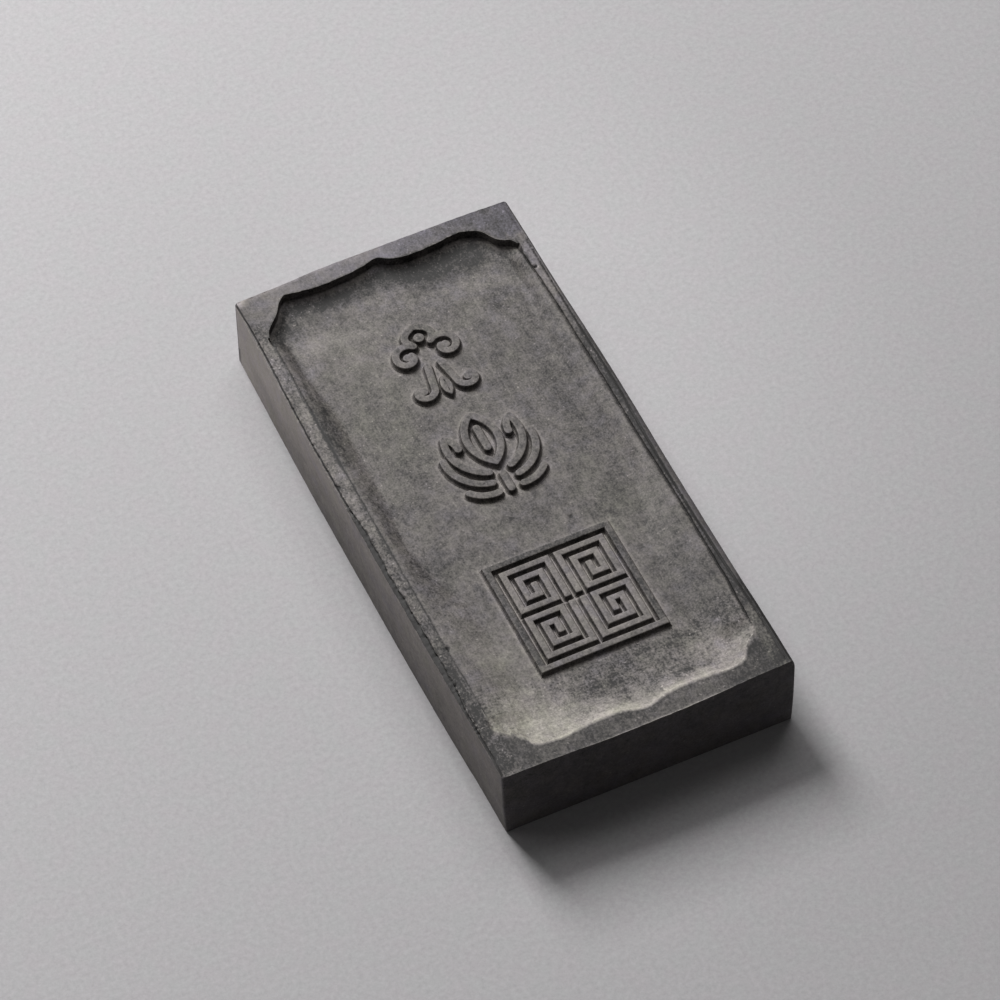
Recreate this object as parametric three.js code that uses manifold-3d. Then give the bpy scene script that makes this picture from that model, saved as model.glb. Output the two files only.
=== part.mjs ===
// Ink cake: one pressed block of soot ink, with a sunk panel whose ends are scalloped and
// raised ornaments that stand on the floor of the panel: a cloud scroll, a lotus and a fret square.
// Millimetres, +Z up. The origin is the middle of the underside, X is the width and Y the length,
// with the cloud scroll towards +Y. Angles are in turns.
import * as THREE from "three";
import { mergeVertices } from "three/addons/utils/BufferGeometryUtils.js";
import Module from "manifold-3d";

const wasm = await Module();
wasm.setup();

const TURN = 2 * Math.PI;
const { lerp, smoothstep } = THREE.MathUtils;

// Block
const blockLength = 128;
const blockWidth = 61.8;
const blockHeight = 18.9;
const sideBow = 0.55;
const endBow = 0.6;
const cornerRadius = 1.2;
const footRadius = 0.6;
const rightShoulderInset = 1.5;
const rightShoulderDrop = 2.4;
const leftShoulderInset = 0.4;
const leftShoulderDrop = 0.8;
const endShoulderInset = 0.45;
const endShoulderDrop = 0.7;
const rightFootInset = 0.7;
const leftFootInset = 0.3;
const endFootInset = 0.3;

// Sunk panel: its outline, from the middle of the block, and its depth
const panelHalfWidth = 27.6;
const panelStraightHalf = 53.2;
const farCuspReach = 62;
const nearCuspReach = 61.2;
const scallopCrestX = 20;
const scallopNotchX = 24;
const crestBehindCusp = 1.1;
const notchBehindCusp = 5.5;
const scallopSag = 1.2;
const scallopRoundBulge = 0.55;
const scallopEarBulge = 0.45;
const panelDepth = 2;
const panelLip = 0.5;
const sideCoveRun = 5.6;
const endCoveRun = 5.6;
const sideCovePower = 1.7;
const endCovePower = 2.6;

// Raised ornaments on the panel floor
const reliefHeight = 1.1;
const reliefDraft = 0.08;
const reliefChamfer = 0.15;
const strokeWidth = 1.6;

// Cloud scroll
const cloudCentre = new THREE.Vector2(-0.4, 34);
const voluteCentre = new THREE.Vector2(4.15, 2.3);
const voluteRadius = 3.2;
const voluteStart = 0.375;
const crownBend = new THREE.Vector2(4.5, 7.5);
const crownPeak = 9.15;
const pearlHeight = 6.1;
const pearlRadius = 1.15;
const tailTop = new THREE.Vector2(1.45, -1.3);
const tailBend = new THREE.Vector2(1.95, -3.85);
const tailCurlCentre = new THREE.Vector2(4.9, -6.9);
const tailCurlRadius = 2.4;
const tailCurlStart = 0.525;
const curlPitch = 2.45;
const curlEndRadius = 0.95;
const curlEyeRadius = 1;
const dropTop = -4.6;
const dropFoot = -9.9;
const dropHalfWidth = 1.15;

// Lotus
const lotusCentre = new THREE.Vector2(0.3, 8.1);
const heartTip = 9.7;
const heartFoot = -2.9;
const heartHalfWidth = 3.2;
const veinTop = 6.2;
const veinFoot = 0.9;
const petalRoot = new THREE.Vector2(2.4, -4.9);
const petalTip = new THREE.Vector2(7.2, 6.3);
const petalReturn = new THREE.Vector2(5.5, 2.9);
const petalBulge = 2.5;
const petalReturnBulge = 0.5;
const leafRoot = new THREE.Vector2(2.9, -7.5);
const leafTip = new THREE.Vector2(9.5, 1.3);
const leafBulge = 2.1;
const stemTop = -6.2;
const stemFoot = -10.2;
const rippleStart = new THREE.Vector2(2.7, -10.1);
const rippleEnd = new THREE.Vector2(8.1, -7.9);
const rippleBulge = 0.7;

// Fret square
const squareCentre = new THREE.Vector2(0.1, -31.1);
const squareSide = 27.3;
const squareBar = 1.4;
const fretMargin = 1;
const fretGap = 1;
const fretBarsAcross = 5;

// How finely curves are cut into straight steps
const cornerSteps = 4;
const longSideSteps = 12;
const shortSideSteps = 8;
const footSteps = 3;
const wallSteps = 4;
const shoulderSteps = 7;
const scallopSteps = 7;
const coveSteps = 6;
const coveCrowding = 1.3;
const capSteps = 6;
const arcSteps = 14;
const spiralStepsPerTurn = 26;
const pearlSteps = 20;

// How far the cutting shape of the panel stands above the block, and how far a mitre may reach
const headroom = 1;
const longestMitre = 5;

const panelFloor = blockHeight - panelDepth;

// A closed geometry from stacked levels, lowest first. Each level is a list of loops, the outer
// loop anticlockwise and then any holes clockwise, with the same number of points on every level.
function stackLevels(levels) {
  const positions = levels.flat(2).flatMap((point) => [point.x, point.y, point.z]);
  const pointsPerLevel = levels[0].flat().length;
  const index = [];
  for (let step = 0; step + 1 < levels.length; step++) {
    let loopStart = step * pointsPerLevel;
    for (const loop of levels[step]) {
      for (let i = 0; i < loop.length; i++) {
        const a = loopStart + i;
        const b = loopStart + ((i + 1) % loop.length);
        index.push(a, b, b + pointsPerLevel);
        index.push(a, b + pointsPerLevel, a + pointsPerLevel);
      }
      loopStart += loop.length;
    }
  }
  const topStart = (levels.length - 1) * pointsPerLevel;
  for (const [a, b, c] of lidTriangles(levels[0])) index.push(a, c, b);
  for (const [a, b, c] of lidTriangles(levels.at(-1)))
    index.push(topStart + a, topStart + b, topStart + c);
  const geometry = new THREE.BufferGeometry();
  geometry.setAttribute("position", new THREE.Float32BufferAttribute(positions, 3));
  geometry.setIndex(index);
  return geometry;
}

// The triangles that close a level, each one anticlockwise seen from above.
function lidTriangles([outer, ...holes]) {
  const points = [outer, ...holes].flat();
  const faces = THREE.ShapeUtils.triangulateShape([...outer], holes.map((hole) => [...hole]));
  return faces.map(([a, b, c]) =>
    THREE.ShapeUtils.isClockWise([points[a], points[b], points[c]]) ? [a, c, b] : [a, b, c],
  );
}

function atHeight(loop, z) {
  return loop.map((point) => new THREE.Vector3(point.x, point.y, z));
}

function solidFrom(geometry) {
  const merged = mergeVertices(geometry, 1e-5);
  return new wasm.Manifold(
    new wasm.Mesh({
      numProp: 3,
      vertProperties: new Float32Array(merged.getAttribute("position").array),
      triVerts: new Uint32Array(merged.index.array),
    }),
  );
}

function geometryFrom(solid) {
  const mesh = solid.getMesh();
  const geometry = new THREE.BufferGeometry();
  geometry.setAttribute("position", new THREE.BufferAttribute(mesh.vertProperties, mesh.numProp));
  geometry.setIndex(new THREE.BufferAttribute(mesh.triVerts, 1));
  return geometry;
}

// Block: how far each wall is drawn in from its widest line at a height.
function wallInset(z, shoulderInset, shoulderDrop, footInset) {
  const widestHeight = blockHeight - shoulderDrop;
  if (z > widestHeight) {
    const rise = Math.min((z - widestHeight) / shoulderDrop, 1);
    return shoulderInset * (1 - Math.sqrt(1 - rise ** 2));
  }
  const fall = (widestHeight - z) / widestHeight;
  const footRise = Math.max(1 - z / footRadius, 0);
  return footInset * fall ** 2 + footRadius * (1 - Math.sqrt(1 - footRise ** 2));
}

// The block's outline at a height: a rectangle with round corners and sides that bow outwards.
function blockOutline(z) {
  const right = blockWidth / 2 - wallInset(z, rightShoulderInset, rightShoulderDrop, rightFootInset);
  const left = blockWidth / 2 - wallInset(z, leftShoulderInset, leftShoulderDrop, leftFootInset);
  const end = blockLength / 2 - wallInset(z, endShoulderInset, endShoulderDrop, endFootInset);
  const corners = [
    new THREE.Vector2(right - cornerRadius, -end + cornerRadius),
    new THREE.Vector2(right - cornerRadius, end - cornerRadius),
    new THREE.Vector2(-left + cornerRadius, end - cornerRadius),
    new THREE.Vector2(-left + cornerRadius, -end + cornerRadius),
  ];
  return corners.flatMap((corner, side) => {
    const next = corners[(side + 1) % corners.length];
    const outwards = side / corners.length;
    const points = [];
    for (let step = 0; step <= cornerSteps; step++)
      points.push(polar(corner, cornerRadius, outwards - (1 - step / cornerSteps) / corners.length));
    const isLongSide = side % 2 === 0;
    const bow = isLongSide ? sideBow : endBow;
    const steps = isLongSide ? longSideSteps : shortSideSteps;
    for (let step = 1; step < steps; step++) {
      const share = step / steps;
      const reach = cornerRadius + bow * (1 - (2 * share - 1) ** 2);
      points.push(polar(corner.clone().lerp(next, share), reach, outwards));
    }
    return points;
  });
}

function plainBlock() {
  const widestHeight = blockHeight - rightShoulderDrop;
  const heights = [];
  for (let step = 0; step < footSteps; step++)
    heights.push(footRadius * (1 - Math.cos(((step / footSteps) * TURN) / 4)));
  for (let step = 0; step < wallSteps; step++)
    heights.push(lerp(footRadius, widestHeight, step / wallSteps));
  for (let step = 0; step <= shoulderSteps; step++)
    heights.push(widestHeight + rightShoulderDrop * Math.sin(((step / shoulderSteps) * TURN) / 4));
  return solidFrom(stackLevels(heights.map((z) => [atHeight(blockOutline(z), z)])));
}

// One scalloped end of the panel, from its right ear over the cusp to its left ear.
function scallopedEnd(cuspReach) {
  const ear = new THREE.Vector2(panelHalfWidth, panelStraightHalf);
  const notch = new THREE.Vector2(scallopNotchX, cuspReach - notchBehindCusp);
  const crest = new THREE.Vector2(scallopCrestX, cuspReach - crestBehindCusp);
  const cusp = new THREE.Vector2(0, cuspReach);
  const half = [
    ...arcBetween(ear, notch, scallopEarBulge, scallopSteps),
    ...arcBetween(notch, crest, scallopRoundBulge, scallopSteps).slice(1),
    ...arcBetween(crest, cusp, -scallopSag, 2 * scallopSteps).slice(1),
  ];
  return [...half, ...mirroredX(half.slice(0, -1))];
}

// The panel's outline, anticlockwise, with points on each long side where the end coves begin.
function panelOutline() {
  const coveStart = panelStraightHalf - endCoveRun;
  const turned = (points) => points.map((point) => point.clone().negate());
  const side = [-coveStart, 0, coveStart].map((y) => new THREE.Vector2(panelHalfWidth, y));
  return [
    ...side,
    ...scallopedEnd(farCuspReach),
    ...turned(side),
    ...turned(scallopedEnd(nearCuspReach)),
  ];
}

// The shape that the mould pressed out of the block: a short upright lip, then a cove that is
// steep at the ends and gentle along the sides, down to a flat floor.
function panelHollow() {
  const outline = panelOutline();
  const narrowing = 1 - sideCoveRun / panelHalfWidth;
  const shortening = 1 - endCoveRun / farCuspReach;
  const coveStart = panelStraightHalf - endCoveRun;
  const coveLoop = (share) =>
    outline.map((point) => {
      const endShare = smoothstep(Math.abs(point.y), coveStart, panelStraightHalf);
      const power = lerp(sideCovePower, endCovePower, endShare);
      const depth = lerp(panelLip, panelDepth, 1 - (1 - share) ** power);
      return new THREE.Vector3(
        point.x * lerp(1, narrowing, share),
        point.y * lerp(1, shortening, share),
        blockHeight - depth,
      );
    });
  const levels = [];
  for (let step = coveSteps; step >= 0; step--)
    levels.push([coveLoop((step / coveSteps) ** coveCrowding)]);
  levels.push([atHeight(outline, blockHeight + headroom)]);
  return solidFrom(stackLevels(levels));
}

// Paths and loops in plan
function polar(centre, radius, turns) {
  return new THREE.Vector2(
    centre.x + radius * Math.cos(turns * TURN),
    centre.y + radius * Math.sin(turns * TURN),
  );
}

function mirroredX(points) {
  return points.map((point) => new THREE.Vector2(-point.x, point.y)).reverse();
}

// A circular arc that bulges to the right of the way from start to end, or to the left of it
// where the bulge is negative.
function arcBetween(start, end, bulge, steps = arcSteps) {
  const chord = end.clone().sub(start);
  const radius = (chord.length() ** 2 / 4 + bulge ** 2) / (2 * bulge);
  const toRight = new THREE.Vector2(chord.y, -chord.x).normalize();
  const centre = start.clone().lerp(end, 0.5).addScaledVector(toRight, bulge - radius);
  const halfTurn = Math.asin(chord.length() / 2 / radius) / TURN;
  const middle = toRight.angle() / TURN;
  return Array.from({ length: steps + 1 }, (_, step) =>
    polar(centre, radius, middle + halfTurn * ((2 * step) / steps - 1)),
  );
}

// A spiral that winds inwards, clockwise where hand is -1, and ends while it is still wide enough
// for a stroke. Its radius shrinks by curlPitch in a full turn.
function spiral(centre, startRadius, startTurn, hand) {
  const turns = (startRadius - curlEndRadius) / curlPitch;
  const steps = Math.ceil(spiralStepsPerTurn * turns);
  return Array.from({ length: steps + 1 }, (_, step) =>
    polar(
      centre,
      lerp(startRadius, curlEndRadius, step / steps),
      startTurn + (hand * turns * step) / steps,
    ),
  );
}

function circleLoop(centre, radius, steps) {
  return Array.from({ length: steps }, (_, step) => polar(centre, radius, step / steps));
}

// Two arcs that meet in a point above and below.
function lensLoop(foot, tip, halfWidth) {
  const low = new THREE.Vector2(0, foot);
  const high = new THREE.Vector2(0, tip);
  return [
    ...arcBetween(low, high, halfWidth).slice(0, -1),
    ...arcBetween(high, low, halfWidth).slice(0, -1),
  ];
}

function squareLoop(halfSide) {
  return [
    new THREE.Vector2(halfSide, -halfSide),
    new THREE.Vector2(halfSide, halfSide),
    new THREE.Vector2(-halfSide, halfSide),
    new THREE.Vector2(-halfSide, -halfSide),
  ];
}

// For each point of a path, the way to its left, mitred where the path turns.
function leftOffsets(path, isClosed) {
  return path.map((point, i) => {
    const before = path[i - 1] ?? (isClosed ? path.at(-1) : null);
    const after = path[i + 1] ?? (isClosed ? path[0] : null);
    const arriving = point.clone().sub(before ?? point);
    const leaving = (after ?? point).clone().sub(point);
    const first = (before ? arriving : leaving).normalize();
    const second = (after ? leaving : arriving).normalize();
    const along = first.clone().add(second).normalize();
    const reach = Math.min(1 / along.dot(first), longestMitre);
    return new THREE.Vector2(-along.y, along.x).multiplyScalar(reach);
  });
}

function grownLoop(loop, outwards) {
  const offsets = leftOffsets(loop, true);
  return loop.map((point, i) => point.clone().addScaledVector(offsets[i], -outwards));
}

// The outline of an open stroke. Its ends, round or square, reach past the path by its half width.
function strokeOutline(path, halfWidth, hasRoundEnds) {
  const offsets = leftOffsets(path, false);
  const side = (reach) => path.map((point, i) => point.clone().addScaledVector(offsets[i], reach));
  const cap = (end, inner) => {
    const outwards = end.clone().sub(inner).angle() / TURN;
    if (!hasRoundEnds)
      return [-1, 1].map((hand) => polar(end, halfWidth * Math.SQRT2, outwards + hand / 8));
    return Array.from({ length: capSteps - 1 }, (_, step) =>
      polar(end, halfWidth, outwards + ((step + 1) / capSteps - 0.5) / 2),
    );
  };
  return [
    ...side(-halfWidth),
    ...cap(path.at(-1), path.at(-2)),
    ...side(halfWidth).reverse(),
    ...cap(path[0], path[1]),
  ];
}

// A raised figure: upright walls with a little draft, and a chamfer round the top. loopsAt gives
// its loops in plan, drawn in by an inset.
function raised(loopsAt) {
  const level = (z, inset) => loopsAt(inset).map((loop) => atHeight(loop, z));
  return stackLevels([
    level(0, 0),
    level(reliefHeight - reliefChamfer, reliefDraft),
    level(reliefHeight, reliefDraft + reliefChamfer),
  ]);
}

function raisedStroke(path, width = strokeWidth, hasRoundEnds = true) {
  return raised((inset) => [strokeOutline(path, width / 2 - inset, hasRoundEnds)]);
}

function raisedBand(loop, width) {
  return raised((inset) => [
    grownLoop(loop, width / 2 - inset),
    grownLoop(loop, inset - width / 2).reverse(),
  ]);
}

function raisedPlate(loop) {
  return raised((inset) => [grownLoop(loop, -inset)]);
}

// One figure out of several that overlap.
function joined(figures) {
  const [first, ...others] = figures.map(solidFrom);
  return geometryFrom(others.reduce((whole, solid) => whole.add(solid), first));
}

// The round eye that a curl winds up to.
function curlEye(centre) {
  return raisedPlate(circleLoop(centre, curlEyeRadius, pearlSteps));
}

// Cloud scroll: two volutes under a peaked crown.
function cloudHead() {
  const volute = spiral(voluteCentre, voluteRadius, voluteStart, -1);
  const peak = new THREE.Vector2(0, crownPeak);
  const crownSide = new THREE.QuadraticBezierCurve(volute[0], crownBend, peak).getPoints(arcSteps);
  const crown = [...crownSide, ...mirroredX(crownSide.slice(0, -1))];
  return joined([
    ...[crown, volute, mirroredX(volute)].map((path) => raisedStroke(path)),
    ...[voluteCentre, ...mirroredX([voluteCentre])].map(curlEye),
  ]);
}

// The path of a tail on the right: down, outwards and up into its curl.
function cloudTailPath() {
  const curl = spiral(tailCurlCentre, tailCurlRadius, tailCurlStart, 1);
  const run = new THREE.QuadraticBezierCurve(tailTop, tailBend, curl[0]).getPoints(arcSteps);
  return [...run.slice(0, -1), ...curl];
}

// Lotus petal on the right: up the outside to the tip, and part of the way back down the inside.
function lotusPetalPaths() {
  return [
    arcBetween(petalRoot, petalTip, petalBulge),
    arcBetween(petalTip, petalReturn, petalReturnBulge),
  ];
}

// Fret square: a square spiral in one quarter, as a stroke that starts beside the middle of the
// square and winds inwards. The signs choose the quarter.
function fretQuarter(signX, signY) {
  const quarterSide = squareSide / 2 - squareBar - fretMargin - fretGap / 2;
  const fretBar = (quarterSide - (fretBarsAcross - 1) * fretGap) / fretBarsAcross;
  const pitch = fretBar + fretGap;
  const low = (fretGap + fretBar) / 2;
  const high = low + (fretBarsAcross - 1) * pitch;
  const path = [new THREE.Vector2(low, low)];
  for (let turn = 0; turn < (fretBarsAcross - 1) / 2; turn++) {
    const near = low + turn * pitch;
    const far = high - turn * pitch;
    path.push(new THREE.Vector2(near, far), new THREE.Vector2(far, far));
    path.push(new THREE.Vector2(far, near), new THREE.Vector2(near + pitch, near));
  }
  path.push(new THREE.Vector2(path.at(-1).x, path.at(-1).y + pitch));
  const placed = path.map((point) => new THREE.Vector2(signX * point.x, signY * point.y));
  return raisedStroke(placed, fretBar, false);
}

// Assembly
const pressedInk = { color: 0x4b4947, roughness: 0.86, metalness: 0, flatShading: true };
const raisedInk = { color: 0x565350, roughness: 0.8, metalness: 0, flatShading: true };

function namedMesh(name, geometry, look) {
  const mesh = new THREE.Mesh(geometry, new THREE.MeshStandardMaterial(look));
  mesh.name = name;
  return mesh;
}

function ornament(centre, figures) {
  const group = new THREE.Group();
  group.position.set(centre.x, centre.y, panelFloor);
  for (const [name, geometry] of figures) group.add(namedMesh(name, geometry, raisedInk));
  return group;
}

const cakeBlock = namedMesh(
  "cake_block",
  geometryFrom(plainBlock().subtract(panelHollow())),
  pressedInk,
);

const pearlCentre = new THREE.Vector2(0, pearlHeight);
const tailPath = cloudTailPath();
const cloud = ornament(cloudCentre, [
  ["cloud_head", cloudHead()],
  ["cloud_pearl", raisedPlate(circleLoop(pearlCentre, pearlRadius, pearlSteps))],
  ["cloud_drop", raisedPlate(lensLoop(dropFoot, dropTop, dropHalfWidth))],
  ["cloud_tail_right", joined([raisedStroke(tailPath), curlEye(tailCurlCentre)])],
  [
    "cloud_tail_left",
    joined([raisedStroke(mirroredX(tailPath)), ...mirroredX([tailCurlCentre]).map(curlEye)]),
  ],
]);

const upright = (low, high) => [new THREE.Vector2(0, low), new THREE.Vector2(0, high)];
const petal = lotusPetalPaths();
const leaf = arcBetween(leafRoot, leafTip, leafBulge);
const ripple = arcBetween(rippleStart, rippleEnd, rippleBulge);
const lotus = ornament(lotusCentre, [
  ["lotus_heart", raisedBand(lensLoop(heartFoot, heartTip, heartHalfWidth), strokeWidth)],
  ["lotus_vein", raisedStroke(upright(veinFoot, veinTop))],
  ["lotus_petal_right", joined(petal.map((path) => raisedStroke(path)))],
  ["lotus_petal_left", joined(petal.map((path) => raisedStroke(mirroredX(path))))],
  ["lotus_leaf_right", raisedStroke(leaf)],
  ["lotus_leaf_left", raisedStroke(mirroredX(leaf))],
  ["lotus_stem", raisedStroke(upright(stemFoot, stemTop))],
  ["lotus_ripple_right", raisedStroke(ripple)],
  ["lotus_ripple_left", raisedStroke(mirroredX(ripple))],
]);

const fretSquare = ornament(squareCentre, [
  ["square_border", raisedBand(squareLoop((squareSide - squareBar) / 2), squareBar)],
  ["fret_upper_right", fretQuarter(1, 1)],
  ["fret_upper_left", fretQuarter(-1, 1)],
  ["fret_lower_right", fretQuarter(1, -1)],
  ["fret_lower_left", fretQuarter(-1, -1)],
]);

const inkCake = new THREE.Group();
inkCake.add(cakeBlock, cloud, lotus, fretSquare);

export default inkCake;
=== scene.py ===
"""The ink cake as it looks: pressed soot ink, with a sunk panel and raised ornaments.

Sizes are millimetres in the cake's own frame, as in the CAD part, and become metres only where
a mesh or a lamp is made. +Y is the far end, with the cloud scroll.
"""

import math

import bpy
import numpy as np
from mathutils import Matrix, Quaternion, Vector
from mathutils.kdtree import KDTree


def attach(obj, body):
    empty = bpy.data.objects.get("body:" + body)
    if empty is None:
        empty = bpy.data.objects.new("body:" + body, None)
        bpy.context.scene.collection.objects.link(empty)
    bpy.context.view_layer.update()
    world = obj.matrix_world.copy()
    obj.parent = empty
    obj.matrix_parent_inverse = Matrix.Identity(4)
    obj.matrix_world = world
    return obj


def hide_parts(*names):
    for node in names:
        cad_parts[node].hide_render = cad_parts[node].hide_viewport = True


MM = 0.001
TURN = 2 * math.pi

# Camera, found from the corners of the cake in the photograph
CAMERA_PLACE = (-241.5, -538.3, 805.4)
CAMERA_AIM = (2.3, 8.3, 0)
CAMERA_ROLL = -1.614
CAMERA_LENS = 179.9

# Block: the part's driving sizes, with its sides and edges as bent as they really are
BLOCK_HEIGHT = 18.9
RIGHT_SIDE = (
    (-64, 31.1), (-50, 31.15), (-40, 31.03), (-25, 31.04), (-10, 31.08), (0, 31.16), (10, 31.26),
    (25, 31.18), (40, 30.92), (50, 30.86), (64, 30.8),
)
LEFT_SIDE = (
    (-64, 30.95), (-50, 31.05), (-40, 31.2), (-25, 31.33), (0, 31.36), (15, 31.35), (25, 31.28),
    (40, 31.0), (50, 30.8), (64, 30.5),
)
FAR_EDGE = (
    (-31, 63.67), (-25, 63.87), (-19, 64.02), (-14, 64.37), (0, 64.49), (12, 64.47), (22, 64.37),
    (31, 64.07),
)
NEAR_EDGE = (
    (-31, 63.7), (-25, 63.84), (-19, 64.0), (-14.5, 64.15), (-11, 64.38), (-6, 64.45), (0, 64.47),
    (9, 64.42), (16, 64.18), (22, 63.88), (31, 63.7),
)
FAR_FOOT = 64.45
NEAR_FOOT = 64.1
NEAR_FOOT_SKEW = 0.25
CORNER_RADIUS = 0.3
FOOT_RADIUS = 0.15
# How far the worn shoulder of a wall goes in at the top, and how far down it begins
RIGHT_SHOULDER = (
    (-64, 1.1), (-54, 1.2), (-46, 1.25), (-38, 1.5), (2, 1.5), (10, 1.25), (26, 1.25),
    (34, 1.1), (42, 1), (50, 0.85), (64, 0.85),
)
RIGHT_SHOULDER_DROP = 2.4
LEFT_SHOULDER = (0.4, 0.8)
END_SHOULDER = (0.03, 0.6)
RIGHT_FOOT_INSET = 0.5
LEFT_FOOT_INSET = (
    (-64, 0.45), (-50, 0.38), (-40, 0.25), (-25, 0.17), (0, 0.14), (25, 0.12), (40, 0.03),
    (64, 0.05),
)

# Sunk panel: its sides, bent outwards by a little, and its hand-cut ends as points from left to
# right
PANEL_HALF_WIDTH = 27.6
PANEL_SIDE_BOW = (
    (-64, 0), (-54, 0.05), (-46, 0.1), (-38, 0.25), (-30, 0.36), (0, 0.38), (30, 0.33), (42, 0.15),
    (50, 0.1), (64, 0),
)
RIGHT_EXTRA_BOW = 0.4
PANEL_DEPTH = 2
PANEL_FLOOR = BLOCK_HEIGHT - PANEL_DEPTH
FAR_END_CUT = (
    (-27.6, 52.6), (-27.2, 53.9), (-26.5, 55.0), (-25.2, 56.3), (-24.1, 57.5), (-23.3, 58.5),
    (-22.5, 59.8), (-21.4, 61.0), (-20.7, 61.5), (-20.2, 61.5), (-19.4, 61.3), (-17, 60.9),
    (-12, 60.5), (-7, 60.8), (-2.4, 61.5), (-0.6, 62.1), (0.3, 62.1), (2.2, 61.0), (3.6, 60.4),
    (7.8, 59.95), (13.5, 60.35), (16.5, 60.75), (18.3, 60.8), (19.8, 60.4), (20.8, 60.0),
    (21.8, 59.4), (22.6, 58.6), (23.3, 57.4), (24.2, 55.9), (25.2, 55.1), (27.0, 54.0),
    (27.6, 52.9),
)
NEAR_END_CUT = (
    (-27.6, 53.2), (-26.9, 53.9), (-26.1, 54.6), (-25.4, 55.4), (-25.0, 55.1), (-24.7, 54.5),
    (-24.4, 55.8), (-23.6, 56.6), (-22.9, 57.6), (-22.5, 58.6), (-21.6, 59.4), (-19.8, 59.85),
    (-16.8, 60.1), (-13.9, 59.85), (-8.6, 59.45), (-4.6, 59.55), (-2.2, 60.1), (-0.4, 60.7),
    (1.5, 60.8), (3, 60.3), (4.8, 59.75), (8.6, 59.3), (14.6, 59.4), (20.1, 59.85),
    (21.6, 59.6), (22.7, 58.95), (23.3, 58.1), (23.7, 57.2), (24.2, 56.6), (25.3, 55.6),
    (26.4, 54.8), (27.2, 53.8), (27.6, 52.8),
)
END_ZONE_START = 42
SIDE_LIP = 0.28
# The scored line along each side, as distance in from it and depth
SCORED_LINE = ((0, 0), (0.08, 0.45), (0.2, 0.45), (0.36, SIDE_LIP))
SIDE_DIP_RUN = (
    (-25, 9), (-14, 5), (-5, 3.4), (5, 4.2), (30, 4.6), (42, 2.9), (54, 2.9),
)
FAR_DEPTH = 2.7
FAR_WALL = 1.8
FAR_WALL_RUN = 0.25
FAR_COVE_RUN = 5.5
NEAR_LIP = 0.12
NEAR_LIP_RUN = 0.14
NEAR_COVE_RUN = 7.5

# Marks of the mould, the hand and the years
RIM_DIP = 0.1
FIN_WIDTH = 0.3
CREASE_IN = 0.22
CREASE_DEPTH = 0.15
# Ledge where the left edge has broken away: its width along the edge, and how far down it breaks
LEDGE = (
    (-64, 0), (-61, 0.25), (-46, 0.4), (-40, 1), (-30, 1.1), (-22, 1.1), (-14, 0.85), (-6, 0.9),
    (2, 0.95), (7, 0.4), (10, 0.38), (36, 0.25), (45, 0.42), (56, 0.36), (60, 0.15), (64, 0.05),
)
LEDGE_DROP = (0.3, 0.38)
# Pits by place, radius and depth, and scratches by both ends, half-width and the dust in them
PITS = (
    (28.4, 45.9, 0.36, 0.7), (8, -12.8, 0.5, 0.25), (-30.6, 12.3, 0.5, 0.45),
    (-27.6, -32, 0.5, 0.3), (-29.5, 21.3, 0.3, 0.2), (-9, -12, 0.35, 0.15),
    (-20.4, -47.3, 0.5, 0.15), (17, 3, 0.35, 0.15),
)
SCRATCHES = (
    ((16.8, 48.3), (16.2, 45.5), 0.16, 0.16), ((16.2, 45.5), (11.6, 43), 0.15, 0.15),
    ((-11.9, 37), (-11.3, 34.3), 0.15, 0.17), ((-10.9, 47), (-8.7, 47.7), 0.16, 0.12),
    ((-7.6, 48.2), (-7.9, 46.6), 0.16, 0.13), ((20.3, 52.4), (19.2, 51), 0.16, 0.1),
    ((9.2, -52.2), (10.2, -52.8), 0.2, 0.2), ((-2, -53.5), (-1.2, -53.8), 0.2, 0.2),
)
# Waves of the surface, and chips of its edges with the values of the noise that they lie between
WAVINESS = 0.07
WAVE_SIZE = 7
CHIP_DEPTH = 0.4
CHIP_SIZE = 0.9
CHIP_RANGE = (0.5, 0.66)
# Crumbs: radius, how many of the crumbly points have one, how flat each can be, how deep it sits
CRUMB_SIZE = 0.16
CRUMB_SHARE = 0.05
CRUMB_SEED = 4
CRUMB_SHAPE = (0.35, 1)
CRUMB_BED = 0.08
CRUMB_MARKS = (("dust_and_painted_light", 0.5), ("mottle", 1.0))
# Edges that turn by more than this many degrees are shaded sharp
SHARP_ANGLE = 48
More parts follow.
